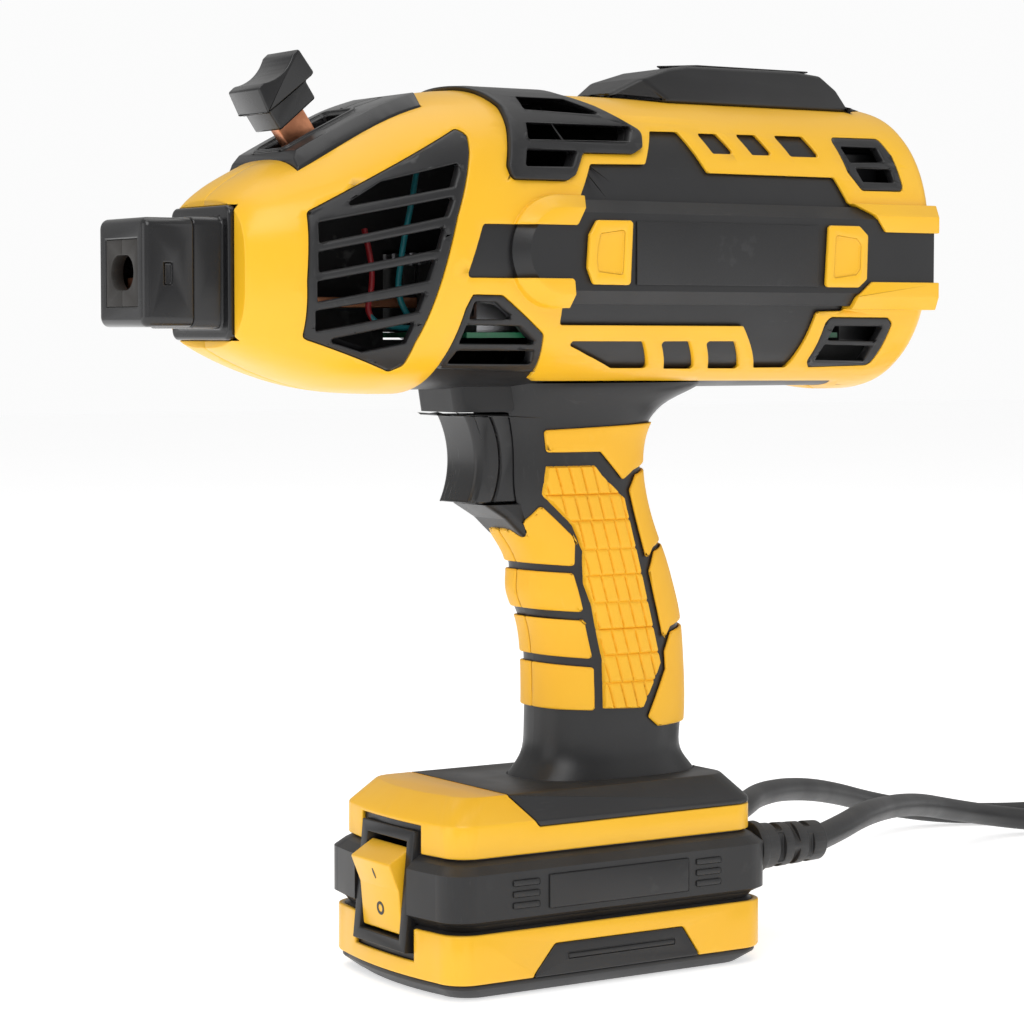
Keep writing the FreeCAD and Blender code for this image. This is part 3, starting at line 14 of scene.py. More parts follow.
import bmesh
import bpy
import numpy as np
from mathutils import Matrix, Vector

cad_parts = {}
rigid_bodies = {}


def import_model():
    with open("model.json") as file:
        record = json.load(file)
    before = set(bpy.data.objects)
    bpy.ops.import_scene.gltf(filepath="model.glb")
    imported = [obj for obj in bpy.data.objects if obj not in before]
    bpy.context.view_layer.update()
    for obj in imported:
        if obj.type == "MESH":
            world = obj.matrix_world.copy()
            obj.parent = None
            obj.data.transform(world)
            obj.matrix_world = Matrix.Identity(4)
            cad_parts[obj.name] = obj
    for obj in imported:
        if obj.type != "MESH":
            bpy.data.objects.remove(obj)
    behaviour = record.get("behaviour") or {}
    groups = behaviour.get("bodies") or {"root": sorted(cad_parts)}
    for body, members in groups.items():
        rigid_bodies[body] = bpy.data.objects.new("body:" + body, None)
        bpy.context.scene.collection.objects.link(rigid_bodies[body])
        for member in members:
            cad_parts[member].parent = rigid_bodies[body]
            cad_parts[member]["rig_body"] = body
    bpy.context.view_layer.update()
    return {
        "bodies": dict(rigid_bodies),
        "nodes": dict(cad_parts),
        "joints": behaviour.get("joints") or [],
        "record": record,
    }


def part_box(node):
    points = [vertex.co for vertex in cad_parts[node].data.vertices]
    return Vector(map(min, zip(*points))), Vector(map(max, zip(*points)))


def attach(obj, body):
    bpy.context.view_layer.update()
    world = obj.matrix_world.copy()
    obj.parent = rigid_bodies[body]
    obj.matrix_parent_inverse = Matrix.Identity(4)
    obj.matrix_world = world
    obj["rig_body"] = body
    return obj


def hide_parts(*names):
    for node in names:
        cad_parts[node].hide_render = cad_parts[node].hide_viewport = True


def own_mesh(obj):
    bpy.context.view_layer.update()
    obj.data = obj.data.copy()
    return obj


LOG = logging.getLogger("stick_welder")
MM = 0.001
ROOT = "housing"
Colour = tuple[float, float, float]
Point = tuple[float, float, float]


class Spread(Enum):
    """What a finish's grain looks like."""

    MOULDED = "fine moulded grain"
    SPARK = "coarse spark-eroded grain"
    DRAWN = "drawn metal"
    CAST = "mottled metal"


# ------------------------------------------------------------------ meshes
def grid_faces(rows: int, columns: int, wrap_rows: bool, wrap_columns: bool) -> np.ndarray:
    """Quads of a grid of points numbered row by row.

    Args:
        rows: Number of rows.
        columns: Number of columns.
        wrap_rows: Whether the last row joins the first.
        wrap_columns: Whether the last column joins the first.

    Returns:
        An (n, 4) array of point numbers.
    """
    r = np.arange(rows if wrap_rows else rows - 1)
    c = np.arange(columns if wrap_columns else columns - 1)
    r, c = (a.ravel() for a in np.meshgrid(r, c, indexing="ij"))
    r1, c1 = (r + 1) % rows, (c + 1) % columns
    return np.stack([r * columns + c, r * columns + c1, r1 * columns + c1, r1 * columns + c], 1)


def put_mesh(name: str, points: np.ndarray, faces: list[Sequence[int]], smooth: bool = True) -> bpy.types.Object:
    """Make an object from points in metres and faces, linked to the scene.

    Args:
        name: The piece's name.
        points: An (n, 3) array.
        faces: Point numbers of each face.
        smooth: Whether faces are shaded smooth up to a 35 degree edge.

    Returns:
        The new object, at the origin.
    """
    mesh = bpy.data.meshes.new(name)
    mesh.from_pydata(points.tolist(), [], [list(map(int, f)) for f in faces])
    mesh.update()
    mesh.validate()
    if smooth:
        mesh.shade_smooth()
        mesh.set_sharp_from_angle(angle=math.radians(35))
    piece = bpy.data.objects.new(name, mesh)
    bpy.context.scene.collection.objects.link(piece)
    return piece


def depth_inside(where: np.ndarray, outline: Sequence[tuple[float, float]]) -> np.ndarray:
    """How deep each point lies inside a closed outline, negative outside.

    The depth is the distance to the nearest edge. A point is inside where a line
    along the first axis crosses an odd number of edges.

    Args:
        where: An (n, 2) array of places.
        outline: The outline's corners.

    Returns:
        An array of n depths.
    """
    start = np.array(outline)[None]
    edge = np.roll(start, -1, axis=1) - start
    gap = where[:, None] - start
    along = np.clip((gap * edge).sum(2) / (edge ** 2).sum(2), 0.0, 1.0)
    nearest = np.linalg.norm(gap - along[..., None] * edge, axis=2).min(1)
    below, above = start[..., 1], start[..., 1] + edge[..., 1]
    between = (below > where[:, 1:]) != (above > where[:, 1:])
    slope = edge[..., 0] / np.where(edge[..., 1] == 0, 1e-9, edge[..., 1])
    crossing = start[..., 0] + (where[:, 1:] - below) * slope
    inside = (between & (crossing > where[:, :1])).sum(1) % 2 == 1
    return np.where(inside, nearest, -nearest)


# ------------------------------------------------------------------ finishes
class Tree:
    """Short words for building a node tree."""

    def __init__(self, tree: bpy.types.NodeTree) -> None:
        """Keep the tree and start at its left edge."""
        self.tree = tree
        self.column = 0

    def add(self, kind: str, values: dict | None = None, **settings: object) -> bpy.types.Node:
        """Add a node.

        Args:
            kind: The node's type without its ShaderNode prefix.
            values: Input name or number to a value, or to a socket to link from.
            **settings: Attributes of the node.

        Returns:
            The node.
        """
        node = self.tree.nodes.new("ShaderNode" + kind)
        node.location = (180 * self.column, -40 * (self.column % 5))
        self.column += 1
        for key, value in settings.items():
            setattr(node, key, value)
        for key, value in (values or {}).items():
            if isinstance(value, bpy.types.NodeSocket):
                self.tree.links.new(value, node.inputs[key])
            else:
                node.inputs[key].default_value = value
        return node

    def math(self, operation: str, a: object, b: object = 0.0) -> bpy.types.NodeSocket:
        """A Math node's result."""
        return self.add("Math", {0: a, 1: b}, operation=operation).outputs[0]

    def noise(self, where: bpy.types.NodeSocket, scale: float | bpy.types.NodeSocket, detail: float = 2.0) -> bpy.types.NodeSocket:
        """A noise value at a place."""
        node = self.add("TexNoise", {"Vector": where, "Scale": scale, "Detail": detail})
        return node.outputs["Fac"]

    def between(self, value: bpy.types.NodeSocket, low: float, high: float) -> bpy.types.NodeSocket:
        """A mask that rises smoothly from 0 at low to 1 at high."""
        node = self.add("MapRange", {"Value": value, "From Min": low, "From Max": high},
                        interpolation_type="SMOOTHSTEP")
        return node.outputs["Result"]

    def blend(self, factor: object, a: object, b: object) -> bpy.types.NodeSocket:
        """A mix of two colours."""
        node = self.add("Mix", data_type="RGBA")
        for name, value in (("Factor_Float", factor), ("A_Color", a), ("B_Color", b)):
            socket = next(s for s in node.inputs if s.identifier == name)
            if isinstance(value, bpy.types.NodeSocket):
                self.tree.links.new(value, socket)
            else:
                socket.default_value = value
        return next(s for s in node.outputs if s.identifier == "Result_Color")


class Effects:
    """The shader node groups that finishes share, each built once."""

    def __init__(self) -> None:
        """Build every group."""
        self.grain = self._group("moulded_grain", {"Scale": 1.0}, ["Height"], self._grain)
        self.drift = self._group("tone_drift", {"Scale": 1.0}, ["Mask"], self._drift)
        self.scuffs = self._group("scuffs", {"Scale": 1.0, "Amount": 0.2}, ["Mask"], self._scuffs)
        self.dust = self._group("settled_dust", {"Scale": 1.0, "Amount": 0.2}, ["Mask"], self._dust)
        self.lay = self._group("drawn_lay", {"Scale": 1.0}, ["Height"], self._lay)

    @staticmethod
    def _group(name: str, inputs: dict[str, float], outputs: list[str], fill: Callable[[Tree, bpy.types.Node, bpy.types.Node], None]) -> bpy.types.NodeTree:
        """A group with a Vector input, number inputs and number outputs.

        Args:
            name: The group's name.
            inputs: Number inputs with their defaults.
            outputs: Number outputs.
            fill: Builds the inside, given the tree, its input and its output node.

        Returns:
            The group.
        """
        group = bpy.data.node_groups.new(name, "ShaderNodeTree")
        group.interface.new_socket("Vector", in_out="INPUT", socket_type="NodeSocketVector")
        for key, value in inputs.items():
            socket = group.interface.new_socket(key, in_out="INPUT", socket_type="NodeSocketFloat")
            socket.default_value = value
        for key in outputs:
            group.interface.new_socket(key, in_out="OUTPUT", socket_type="NodeSocketFloat")
        tree = Tree(group)
        source = group.nodes.new("NodeGroupInput")
        target = group.nodes.new("NodeGroupOutput")
        fill(tree, source, target)
        return group

    @staticmethod
    def _grain(tree: Tree, source: bpy.types.Node, target: bpy.types.Node) -> None:
        """Two octaves of fine bumps, the second at twice the scale."""
        where, scale = source.outputs["Vector"], source.outputs["Scale"]
        coarse = tree.noise(where, scale, 3.0)
        fine = tree.noise(where, tree.math("MULTIPLY", scale, 2.3), 2.0)
        total = tree.math("ADD", coarse, tree.math("MULTIPLY", fine, 0.5))
        tree.tree.links.new(total, target.inputs["Height"])

    @staticmethod
    def _drift(tree: Tree, source: bpy.types.Node, target: bpy.types.Node) -> None:
        """Slow change of tone across a moulding."""
        value = tree.noise(source.outputs["Vector"], source.outputs["Scale"], 4.0)
        tree.tree.links.new(tree.between(value, 0.32, 0.68), target.inputs["Mask"])

    @staticmethod
    def _scuffs(tree: Tree, source: bpy.types.Node, target: bpy.types.Node) -> None:
        """Thin rubbed streaks where stretched noise passes a threshold inside patches."""
        where, scale = source.outputs["Vector"], source.outputs["Scale"]
        turned = tree.add("Mapping", {"Vector": where, "Rotation": (0.5, 0.9, 0.3), "Scale": (1.0, 9.0, 1.0)})
        streak = tree.between(tree.noise(turned.outputs[0], tree.math("MULTIPLY", scale, 6.0), 3.0), 0.60, 0.72)
        patch = tree.between(tree.noise(where, scale, 2.0), 0.50, 0.66)
        mask = tree.math("MULTIPLY", tree.math("MULTIPLY", streak, patch), source.outputs["Amount"])
        tree.tree.links.new(mask, target.inputs["Mask"])

    @staticmethod
    def _dust(tree: Tree, source: bpy.types.Node, target: bpy.types.Node) -> None:
        """A thin veil on faces that look up, broken up by noise."""
        normal = tree.add("NewGeometry").outputs["Normal"]
        up = tree.add("SeparateXYZ", {0: normal}).outputs["Z"]
        facing = tree.between(up, 0.35, 1.0)
        broken = tree.noise(source.outputs["Vector"], source.outputs["Scale"], 5.0)
        mask = tree.math("MULTIPLY", tree.math("MULTIPLY", facing, broken), source.outputs["Amount"])
        tree.tree.links.new(mask, target.inputs["Mask"])

    @staticmethod
    def _lay(tree: Tree, source: bpy.types.Node, target: bpy.types.Node) -> None:
        """Long fine lines along X, as drawn or brushed metal has."""
        drawn = tree.add("Mapping", {"Vector": source.outputs["Vector"], "Scale": (0.04, 1.0, 1.0)})
        lines = tree.noise(drawn.outputs[0], source.outputs["Scale"], 2.0)
        tree.tree.links.new(lines, target.inputs["Height"])


@dataclass(frozen=True)
class Finish:
    """One surface finish: its colours, gloss, grain, scuffs and dust."""

    name: str
    base: Colour
    shade: Colour
    roughness: float
    spread: Spread = Spread.MOULDED
    metallic: float = 0.0
    coat: float = 0.0
    grain_scale: float = 2600.0
    grain_mm: float = 0.02
    drift_scale: float = 24.0
    drift: float = 0.5
    scuff: float = 0.15
    scuff_to: Colour = (0.5, 0.5, 0.5)
    dust: float = 0.06
    second: Colour | None = None
    second_past_y: float = 0.0

    def build(self, effects: Effects) -> bpy.types.Material:
        """Make the material.

        Args:
            effects: The shared node groups.

        Returns:
            The material, named after the finish.
        """
        material = bpy.data.materials.new(self.name)
        material.use_nodes = True
        material.node_tree.nodes.clear()
        tree = Tree(material.node_tree)
        where = tree.add("TexCoord").outputs["Object"]
        colour = self._colour(tree, where, effects)
        scuff = tree.add("Group", {}, node_tree=effects.scuffs)
        tree.tree.links.new(where, scuff.inputs["Vector"])
        scuff.inputs["Scale"].default_value = 30.0
        scuff.inputs["Amount"].default_value = self.scuff
        dust = tree.add("Group", {}, node_tree=effects.dust)
        tree.tree.links.new(where, dust.inputs["Vector"])
        dust.inputs["Scale"].default_value = 55.0
        dust.inputs["Amount"].default_value = self.dust
        colour = tree.blend(scuff.outputs["Mask"], colour, (*self.scuff_to, 1.0))
        colour = tree.blend(dust.outputs["Mask"], colour, (0.62, 0.60, 0.56, 1.0))
        smudge = tree.between(tree.noise(where, 38.0, 4.0), 0.3, 0.7)
        rough = tree.math("ADD", tree.math("MULTIPLY", smudge, 0.10), self.roughness - 0.05)
        rough = tree.math("ADD", rough, tree.math("MULTIPLY", scuff.outputs["Mask"], 0.25))
        rough = tree.math("ADD", rough, tree.math("MULTIPLY", dust.outputs["Mask"], 0.5))
        bump = tree.add("Bump", {"Height": self._height(tree, where, effects), "Strength": 1.0,
                                 "Distance": self.grain_mm * MM})
        shader = tree.add("BsdfPrincipled", {
            "Base Color": colour, "Roughness": rough, "Normal": bump.outputs["Normal"],
            "Metallic": self.metallic, "Coat Weight": self.coat, "Coat Roughness": 0.12,
            "IOR": 1.48,
        })
        out = tree.add("OutputMaterial")
        tree.tree.links.new(shader.outputs[0], out.inputs["Surface"])
        return material

    def _colour(self, tree: Tree, where: bpy.types.NodeSocket, effects: Effects) -> bpy.types.NodeSocket:
        """Base colour drifting slowly towards the shade colour."""
        drift = tree.add("Group", {}, node_tree=effects.drift)
        tree.tree.links.new(where, drift.inputs["Vector"])
        drift.inputs["Scale"].default_value = self.drift_scale
        mask = tree.math("MULTIPLY", drift.outputs["Mask"], self.drift)
        colour = tree.blend(mask, (*self.base, 1.0), (*self.shade, 1.0))
        if self.second:
            y = tree.add("SeparateXYZ", {0: where}).outputs["Y"]
            past = tree.math("GREATER_THAN", y, self.second_past_y)
            colour = tree.blend(past, colour, (*self.second, 1.0))
        return colour

    def _height(self, tree: Tree, where: bpy.types.NodeSocket, effects: Effects) -> bpy.types.NodeSocket:
        """Height of the grain that suits the spread."""
        groups = {Spread.DRAWN: effects.lay}
        grain = tree.add("Group", {}, node_tree=groups.get(self.spread, effects.grain))
        tree.tree.links.new(where, grain.inputs["Vector"])
        grain.inputs["Scale"].default_value = self.grain_scale
        return grain.outputs["Height"]


YELLOW = Finish("yellow_moulding", (0.94, 0.52, 0.018), (0.90, 0.47, 0.012), 0.36, coat=0.12, scuff=0.06, scuff_to=(0.98, 0.70, 0.2), grain_mm=0.012)
SOFT_YELLOW = Finish("yellow_soft_pad", (0.93, 0.50, 0.018), (0.88, 0.44, 0.012), 0.50, grain_scale=3200.0, grain_mm=0.02, scuff=0.08, scuff_to=(0.97, 0.66, 0.2))
SHELL = Finish("black_shell", (0.011, 0.011, 0.012), (0.017, 0.017, 0.018), 0.38, spread=Spread.SPARK, grain_mm=0.02, scuff=0.10, scuff_to=(0.10, 0.10, 0.10))
INSERT = Finish("black_insert", (0.012, 0.012, 0.013), (0.019, 0.019, 0.020), 0.40, grain_mm=0.02, scuff=0.10, scuff_to=(0.11, 0.11, 0.11))
DECK_FINISH = Finish("deck_moulding", (0.009, 0.009, 0.010), (0.014, 0.014, 0.015), 0.27, coat=0.3, grain_mm=0.008, scuff=0.10, scuff_to=(0.10, 0.10, 0.10), dust=0.08)
NOSE = Finish("nose_moulding", (0.008, 0.008, 0.009), (0.014, 0.014, 0.015), 0.24, coat=0.25, grain_mm=0.006, scuff=0.10, scuff_to=(0.10, 0.10, 0.10), dust=0.10)
TRIGGER = Finish("trigger_moulding", (0.010, 0.010, 0.011), (0.016, 0.016, 0.017), 0.30, coat=0.15, grain_mm=0.008)
PLATE = Finish("rating_plate", (0.013, 0.013, 0.014), (0.018, 0.018, 0.019), 0.46, spread=Spread.SPARK, grain_scale=1700.0, grain_mm=0.05, scuff=0.02)
FILM = Finish("display_film", (0.016, 0.016, 0.018), (0.024, 0.024, 0.026), 0.34, grain_scale=2100.0, grain_mm=0.04, dust=0.14)
INSULATOR = Finish("jaw_insulator", (0.020, 0.018, 0.016), (0.034, 0.030, 0.026), 0.55, grain_mm=0.03)
COPPER = Finish("worn_copper", (0.76, 0.33, 0.18), (0.50, 0.19, 0.10), 0.34, spread=Spread.CAST, metallic=1.0, grain_scale=900.0, grain_mm=0.05, drift_scale=160.0, drift=0.9, scuff=0.5, scuff_to=(0.86, 0.52, 0.36))
STEEL = Finish("drawn_steel", (0.52, 0.52, 0.53), (0.40, 0.40, 0.42), 0.30, spread=Spread.DRAWN, metallic=1.0, grain_scale=1800.0, grain_mm=0.01)
PLATED = Finish("plated_steel", (0.66, 0.66, 0.67), (0.52, 0.52, 0.54), 0.24, spread=Spread.DRAWN, metallic=1.0, grain_scale=1500.0, grain_mm=0.01)
CORD = Finish("cord_sheath", (0.020, 0.020, 0.021), (0.032, 0.032, 0.033), 0.48, grain_scale=1900.0, grain_mm=0.03, scuff=0.12, scuff_to=(0.10, 0.10, 0.10))
BOARD = Finish("circuit_board", (0.02, 0.16, 0.07), (0.02, 0.22, 0.10), 0.35, coat=0.3, drift_scale=220.0)
SINK = Finish("extruded_aluminium", (0.62, 0.62, 0.64), (0.50, 0.50, 0.52), 0.36, spread=Spread.DRAWN, metallic=1.0)
SHEET = Finish("insulating_sheet", (0.010, 0.010, 0.011), (0.016, 0.016, 0.017), 0.55)
WIRE = Finish("wire_insulation", (0.008, 0.15, 0.17), (0.008, 0.11, 0.13), 0.35, second=(0.24, 0.012, 0.016), second_past_y=-0.0213)
FERRITE = Finish("sintered_ferrite", (0.06, 0.06, 0.065), (0.09, 0.09, 0.095), 0.6, spread=Spread.SPARK, grain_mm=0.04)
FOIL = Finish("lacquered_foil", (0.70, 0.30, 0.14), (0.55, 0.22, 0.10), 0.3, metallic=1.0, coat=0.5)
SLEEVE = Finish("capacitor_sleeve", (0.02, 0.03, 0.09), (0.03, 0.04, 0.12), 0.3, coat=0.3)
EPOXY = Finish("module_epoxy", (0.02, 0.02, 0.02), (0.03, 0.03, 0.03), 0.55)

class Wardrobe:
    """Builds each finish's material once and puts it on pieces."""

    def __init__(self) -> None:
        """Build the shared effects."""
        self.effects = Effects()
        self.made: dict[str, bpy.types.Material] = {}

    def dress(self, piece: bpy.types.Object, *finishes: Finish) -> None:
        """Give a piece its finishes, the first one all over."""
        piece.data.materials.clear()
        for finish in finishes:
            if finish.name not in self.made:
                self.made[finish.name] = finish.build(self.effects)
            piece.data.materials.append(self.made[finish.name])


# ------------------------------------------------------------------ rounded mouldings
@dataclass(frozen=True)
class Rounding:
    """Rounded edges for mouldings, all of one radius in millimetres."""

    radius: float
    segments: int = 2
    edge_deg: float = 28.0
    merge_mm: float = 0.10

    def mould(self, node: bpy.types.Object, without: Sequence[tuple[float, float]] = ()) -> bpy.types.Object:
        """Make a frame node's moulding again with its edges rounded.

        The node's loose triangles are merged, flat faces are joined into one face
        each, and every edge sharper than edge_deg is rounded.

        Args:
            node: The frame's node.
            without: An outline in x and z; what lies inside it is left out.

        Returns:
            The new piece, which stands for the node.
        """
        name = node.name + "_moulding"
        shape = bmesh.new()
        shape.from_mesh(node.data)
        if without:
            places = np.empty(3 * len(shape.verts))
            node.data.vertices.foreach_get("co", places)
            places = places.reshape(-1, 3)[:, [0, 2]] / MM
            unwanted = np.flatnonzero(depth_inside(places, without) > -1.0)
            shape.verts.ensure_lookup_table()
            bmesh.ops.delete(shape, geom=[shape.verts[i] for i in unwanted])
        bmesh.ops.remove_doubles(shape, verts=shape.verts, dist=self.merge_mm * MM)
        bmesh.ops.dissolve_limit(shape, angle_limit=math.radians(0.6), verts=shape.verts,
                                 edges=shape.edges)
        mesh = bpy.data.meshes.new(name)
        shape.to_mesh(mesh)
        shape.free()
        mesh.shade_smooth()
        piece = bpy.data.objects.new(name, mesh)
        bpy.context.scene.collection.objects.link(piece)
        bevel = piece.modifiers.new("edges", "BEVEL")
        bevel.width = self.radius * MM
        bevel.segments = self.segments
        bevel.limit_method = "ANGLE"
        bevel.angle_limit = math.radians(self.edge_deg)
        bevel.use_clamp_overlap = False
        bevel.harden_normals = True
        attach(piece, node["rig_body"])
        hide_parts(node.name)
        return piece


# ------------------------------------------------------------------ sub-assemblies
@dataclass(frozen=True)
class Cover:
    """How one frame node is finished, with a rounding radius where it is moulded."""

    node: str
    finish: Finish
    radius: float = 0.0
    segments: int = 2
    merge_mm: float = 0.10


@dataclass
class SubAssembly:
    """Nodes of the frame that belong together and how each is finished."""

    name: str
    covers: Sequence[Cover]

    def build(self, frame: dict, wardrobe: Wardrobe) -> dict[str, bpy.types.Object]:
        """Dress every node, moulding the ones that have a radius.

        Args:
            frame: The loaded frame.
            wardrobe: Puts finishes on pieces.

        Returns:
            The piece that stands for each node, by the node's name.
        """
        made = {}
        for cover in self.covers:
            piece = node = frame["nodes"][cover.node]
            wardrobe.dress(node, cover.finish)
            if cover.radius:
                rounding = Rounding(cover.radius, cover.segments, merge_mm=cover.merge_mm)
                piece = rounding.mould(node, self.left_out(cover.node))
                wardrobe.dress(piece, cover.finish)
            made[cover.node] = piece
            LOG.info("%s: %s dressed as %s", self.name, piece.name, cover.finish.name)
        self.add_pieces(frame, wardrobe)
        return made

    def left_out(self, node: str) -> Sequence[tuple[float, float]]:
        """Outline in x and z of what is left out of a node's moulding."""
        return ()

    def add_pieces(self, frame: dict, wardrobe: Wardrobe) -> None:
        """Build the pieces that a sub-assembly makes itself."""


@dataclass
class Tread:
    """Raised bricks on the side of the grip, in slanted rows that fill an outline."""

    outline: Sequence[tuple[float, float]] = (
        (-11.5, 158.3), (5.2, 158.3), (7.7, 155.4), (16.8, 148.0), (18.9, 140.4), (30.8, 95.3),
        (28.9, 91.2), (23.7, 81.3), (9.3, 81.9), (8.9, 97.3), (4.9, 114.5), (2.0, 121.4),
        (1.4, 131.6), (-2.5, 139.8), (-12.6, 149.5),
    )
    grip: Sequence[tuple[float, float, float, float]] = (
        (56.0, -12.0, 51.5, 19.5), (66.0, -7.4, 46.8, 17.2), (74.0, -6.0, 46.4, 17.0),
        (97.0, -6.0, 46.2, 17.0), (111.0, -8.6, 44.6, 17.0), (119.0, -11.6, 42.4, 17.0),
        (127.0, -11.6, 39.6, 17.0), (138.0, -18.0, 35.0, 17.0), (150.0, -22.5, 31.4, 17.0),
        (164.0, -23.0, 30.8, 17.2), (172.0, -24.0, 34.0, 18.0),
    )
    exponent: float = 2.6
    row_edges: Sequence[float] = (81.0, 90.0, 98.7, 106.9, 115.3, 124.0, 132.2, 141.2, 149.4, 159.0)
    pitch: float = 4.4
    slant: float = 0.30
    groove: float = 1.05
    top: float = 1.50
    floor: float = 0.30
    sunk: float = -0.9
    step: float = 0.34

    def half_thickness(self, x: np.ndarray, z: np.ndarray, out: np.ndarray) -> np.ndarray:
        """Distance of the grip's side from its middle plane, grown outwards by out.

        The grip's section is |u|^n + |v|^n = 1, with u measured from the middle of
        the section in half depths and v in half thicknesses. Front, rear and half
        thickness run between the listed sections as cubic curves.
        """
        rows = np.array(self.grip)
        at = np.clip(np.searchsorted(rows[:, 0], z) - 1, 0, len(rows) - 2)
        slopes = np.gradient(rows[:, 1:], rows[:, 0], axis=0)
        span = (rows[at + 1, 0] - rows[at, 0])[:, None]
        t = (z[:, None] - rows[at, :1]) / span
        values = (rows[at, 1:] * (2 * t ** 3 - 3 * t ** 2 + 1) + rows[at + 1, 1:] * (3 * t ** 2 - 2 * t ** 3)
                  + span * slopes[at] * (t ** 3 - 2 * t ** 2 + t) + span * slopes[at + 1] * (t ** 3 - t ** 2))
        front, rear, half = values.T
        u = np.abs(x - (front + rear) / 2) / ((rear - front) / 2 + out)
        return (half + out) * np.maximum(1 - u ** self.exponent, 0.0) ** (1 / self.exponent)

    def span(self, z: np.ndarray) -> tuple[np.ndarray, np.ndarray]:
        """Foremost and rearmost x of the outline at each height.

        Each edge that passes a height crosses it at one x, by proportion.
        """
        start = np.array(self.outline)
        end = np.roll(start, -1, axis=0)
        rise = np.where(end[:, 1] == start[:, 1], 1e-9, end[:, 1] - start[:, 1])
        along = (z[:, None] - start[:, 1]) / rise
        crossing = start[:, 0] + along * (end[:, 0] - start[:, 0])
        passed = (along >= 0) & (along <= 1)
        front = np.where(passed, crossing, np.inf).min(1)
        rear = np.where(passed, crossing, -np.inf).max(1)
        return front, rear

    def relief(self, x: np.ndarray, z: np.ndarray) -> np.ndarray:
        """Height of the tread over the grip at each place.

        Each brick's edge is a quarter round as wide as the groove's half. Its height
        depends on the distance to the nearest row edge or slanted column line. Past
        the outline the tread falls away under the grip's side.
        """
        edges = np.array(self.row_edges)
        row = np.clip(np.searchsorted(edges, z) - 1, 0, len(edges) - 2)
        to_row = np.minimum(z - edges[row], edges[row + 1] - z)
        shifted = x + self.slant * (z - edges[row]) + 1.9 * row
        to_column = self.pitch / 2 - np.abs(np.mod(shifted, self.pitch) - self.pitch / 2)
        rise = np.clip(np.minimum(to_row, to_column) / self.groove, 0.0, 1.0)
        height = self.floor + (self.top - self.floor) * np.sqrt(1 - (1 - rise) ** 2)
        depth = depth_inside(np.stack([x, z], 1), self.outline)
        cover = np.clip((depth + 0.45) / 0.9, 0.0, 1.0)
        cover = cover * cover * (3 - 2 * cover)
        return self.sunk + (height - self.sunk) * cover

    def build(self, name: str, side: int) -> bpy.types.Object:
        """Make the tread as one closed sheet.

        Args:
            name: The piece's name.
            side: -1 for the left of the grip, 1 for the right.

        Returns:
            The tread.
        """
        corners = np.array(self.outline)
        bottom, top = corners[:, 1].min(), corners[:, 1].max()
        z_steps = np.arange(bottom - 0.9, top + 0.9, self.step)
        front, rear = self.span(np.clip(z_steps, bottom + 0.05, top - 0.05))
        share = np.linspace(0.0, 1.0, int(33.0 / self.step))
        x = (front - 0.9 + share[:, None] * (rear - front + 1.8)).ravel()
        z = np.broadcast_to(z_steps, (len(share), len(z_steps))).ravel()
        y = side * self.half_thickness(x, z, self.relief(x, z))
        rows, columns = len(share), len(z_steps)
        faces = grid_faces(rows, columns, False, False)
        number = np.arange(rows * columns).reshape(rows, columns)
        rim = np.concatenate([number[:-1, 0], number[-1, :-1], number[:0:-1, -1], number[0, :0:-1]])
        points = np.vstack([np.stack([x, y, z], 1), [[9.0, side * 13.5, 120.0]]]) * MM
        back = np.stack([rim, np.roll(rim, -1), np.full(len(rim), len(points) - 1)], 1)
        if side > 0:
            faces, back = faces[:, ::-1], back[:, ::-1]
        return put_mesh(name, points, [*faces[:, ::-1].tolist(), *back.tolist()])


@dataclass
class Grip(SubAssembly):
    """Soft pads of the grip, with the tread on each side."""

    tread: Tread = field(default_factory=Tread)

    def left_out(self, node: str) -> Sequence[tuple[float, float]]:
        """The tread's outline, for both sets of pads."""
        return self.tread.outline

    def add_pieces(self, frame: dict, wardrobe: Wardrobe) -> None:
        """Put a tread on each side of the grip."""
        for name, side in (("left", -1), ("right", 1)):
            tread = self.tread.build("grip_tread_" + name, side)
            wardrobe.dress(tread, SOFT_YELLOW)
            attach(tread, ROOT)
            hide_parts("grip_pads_" + name)
            LOG.info("%s: %s laid", self.name, tread.name)


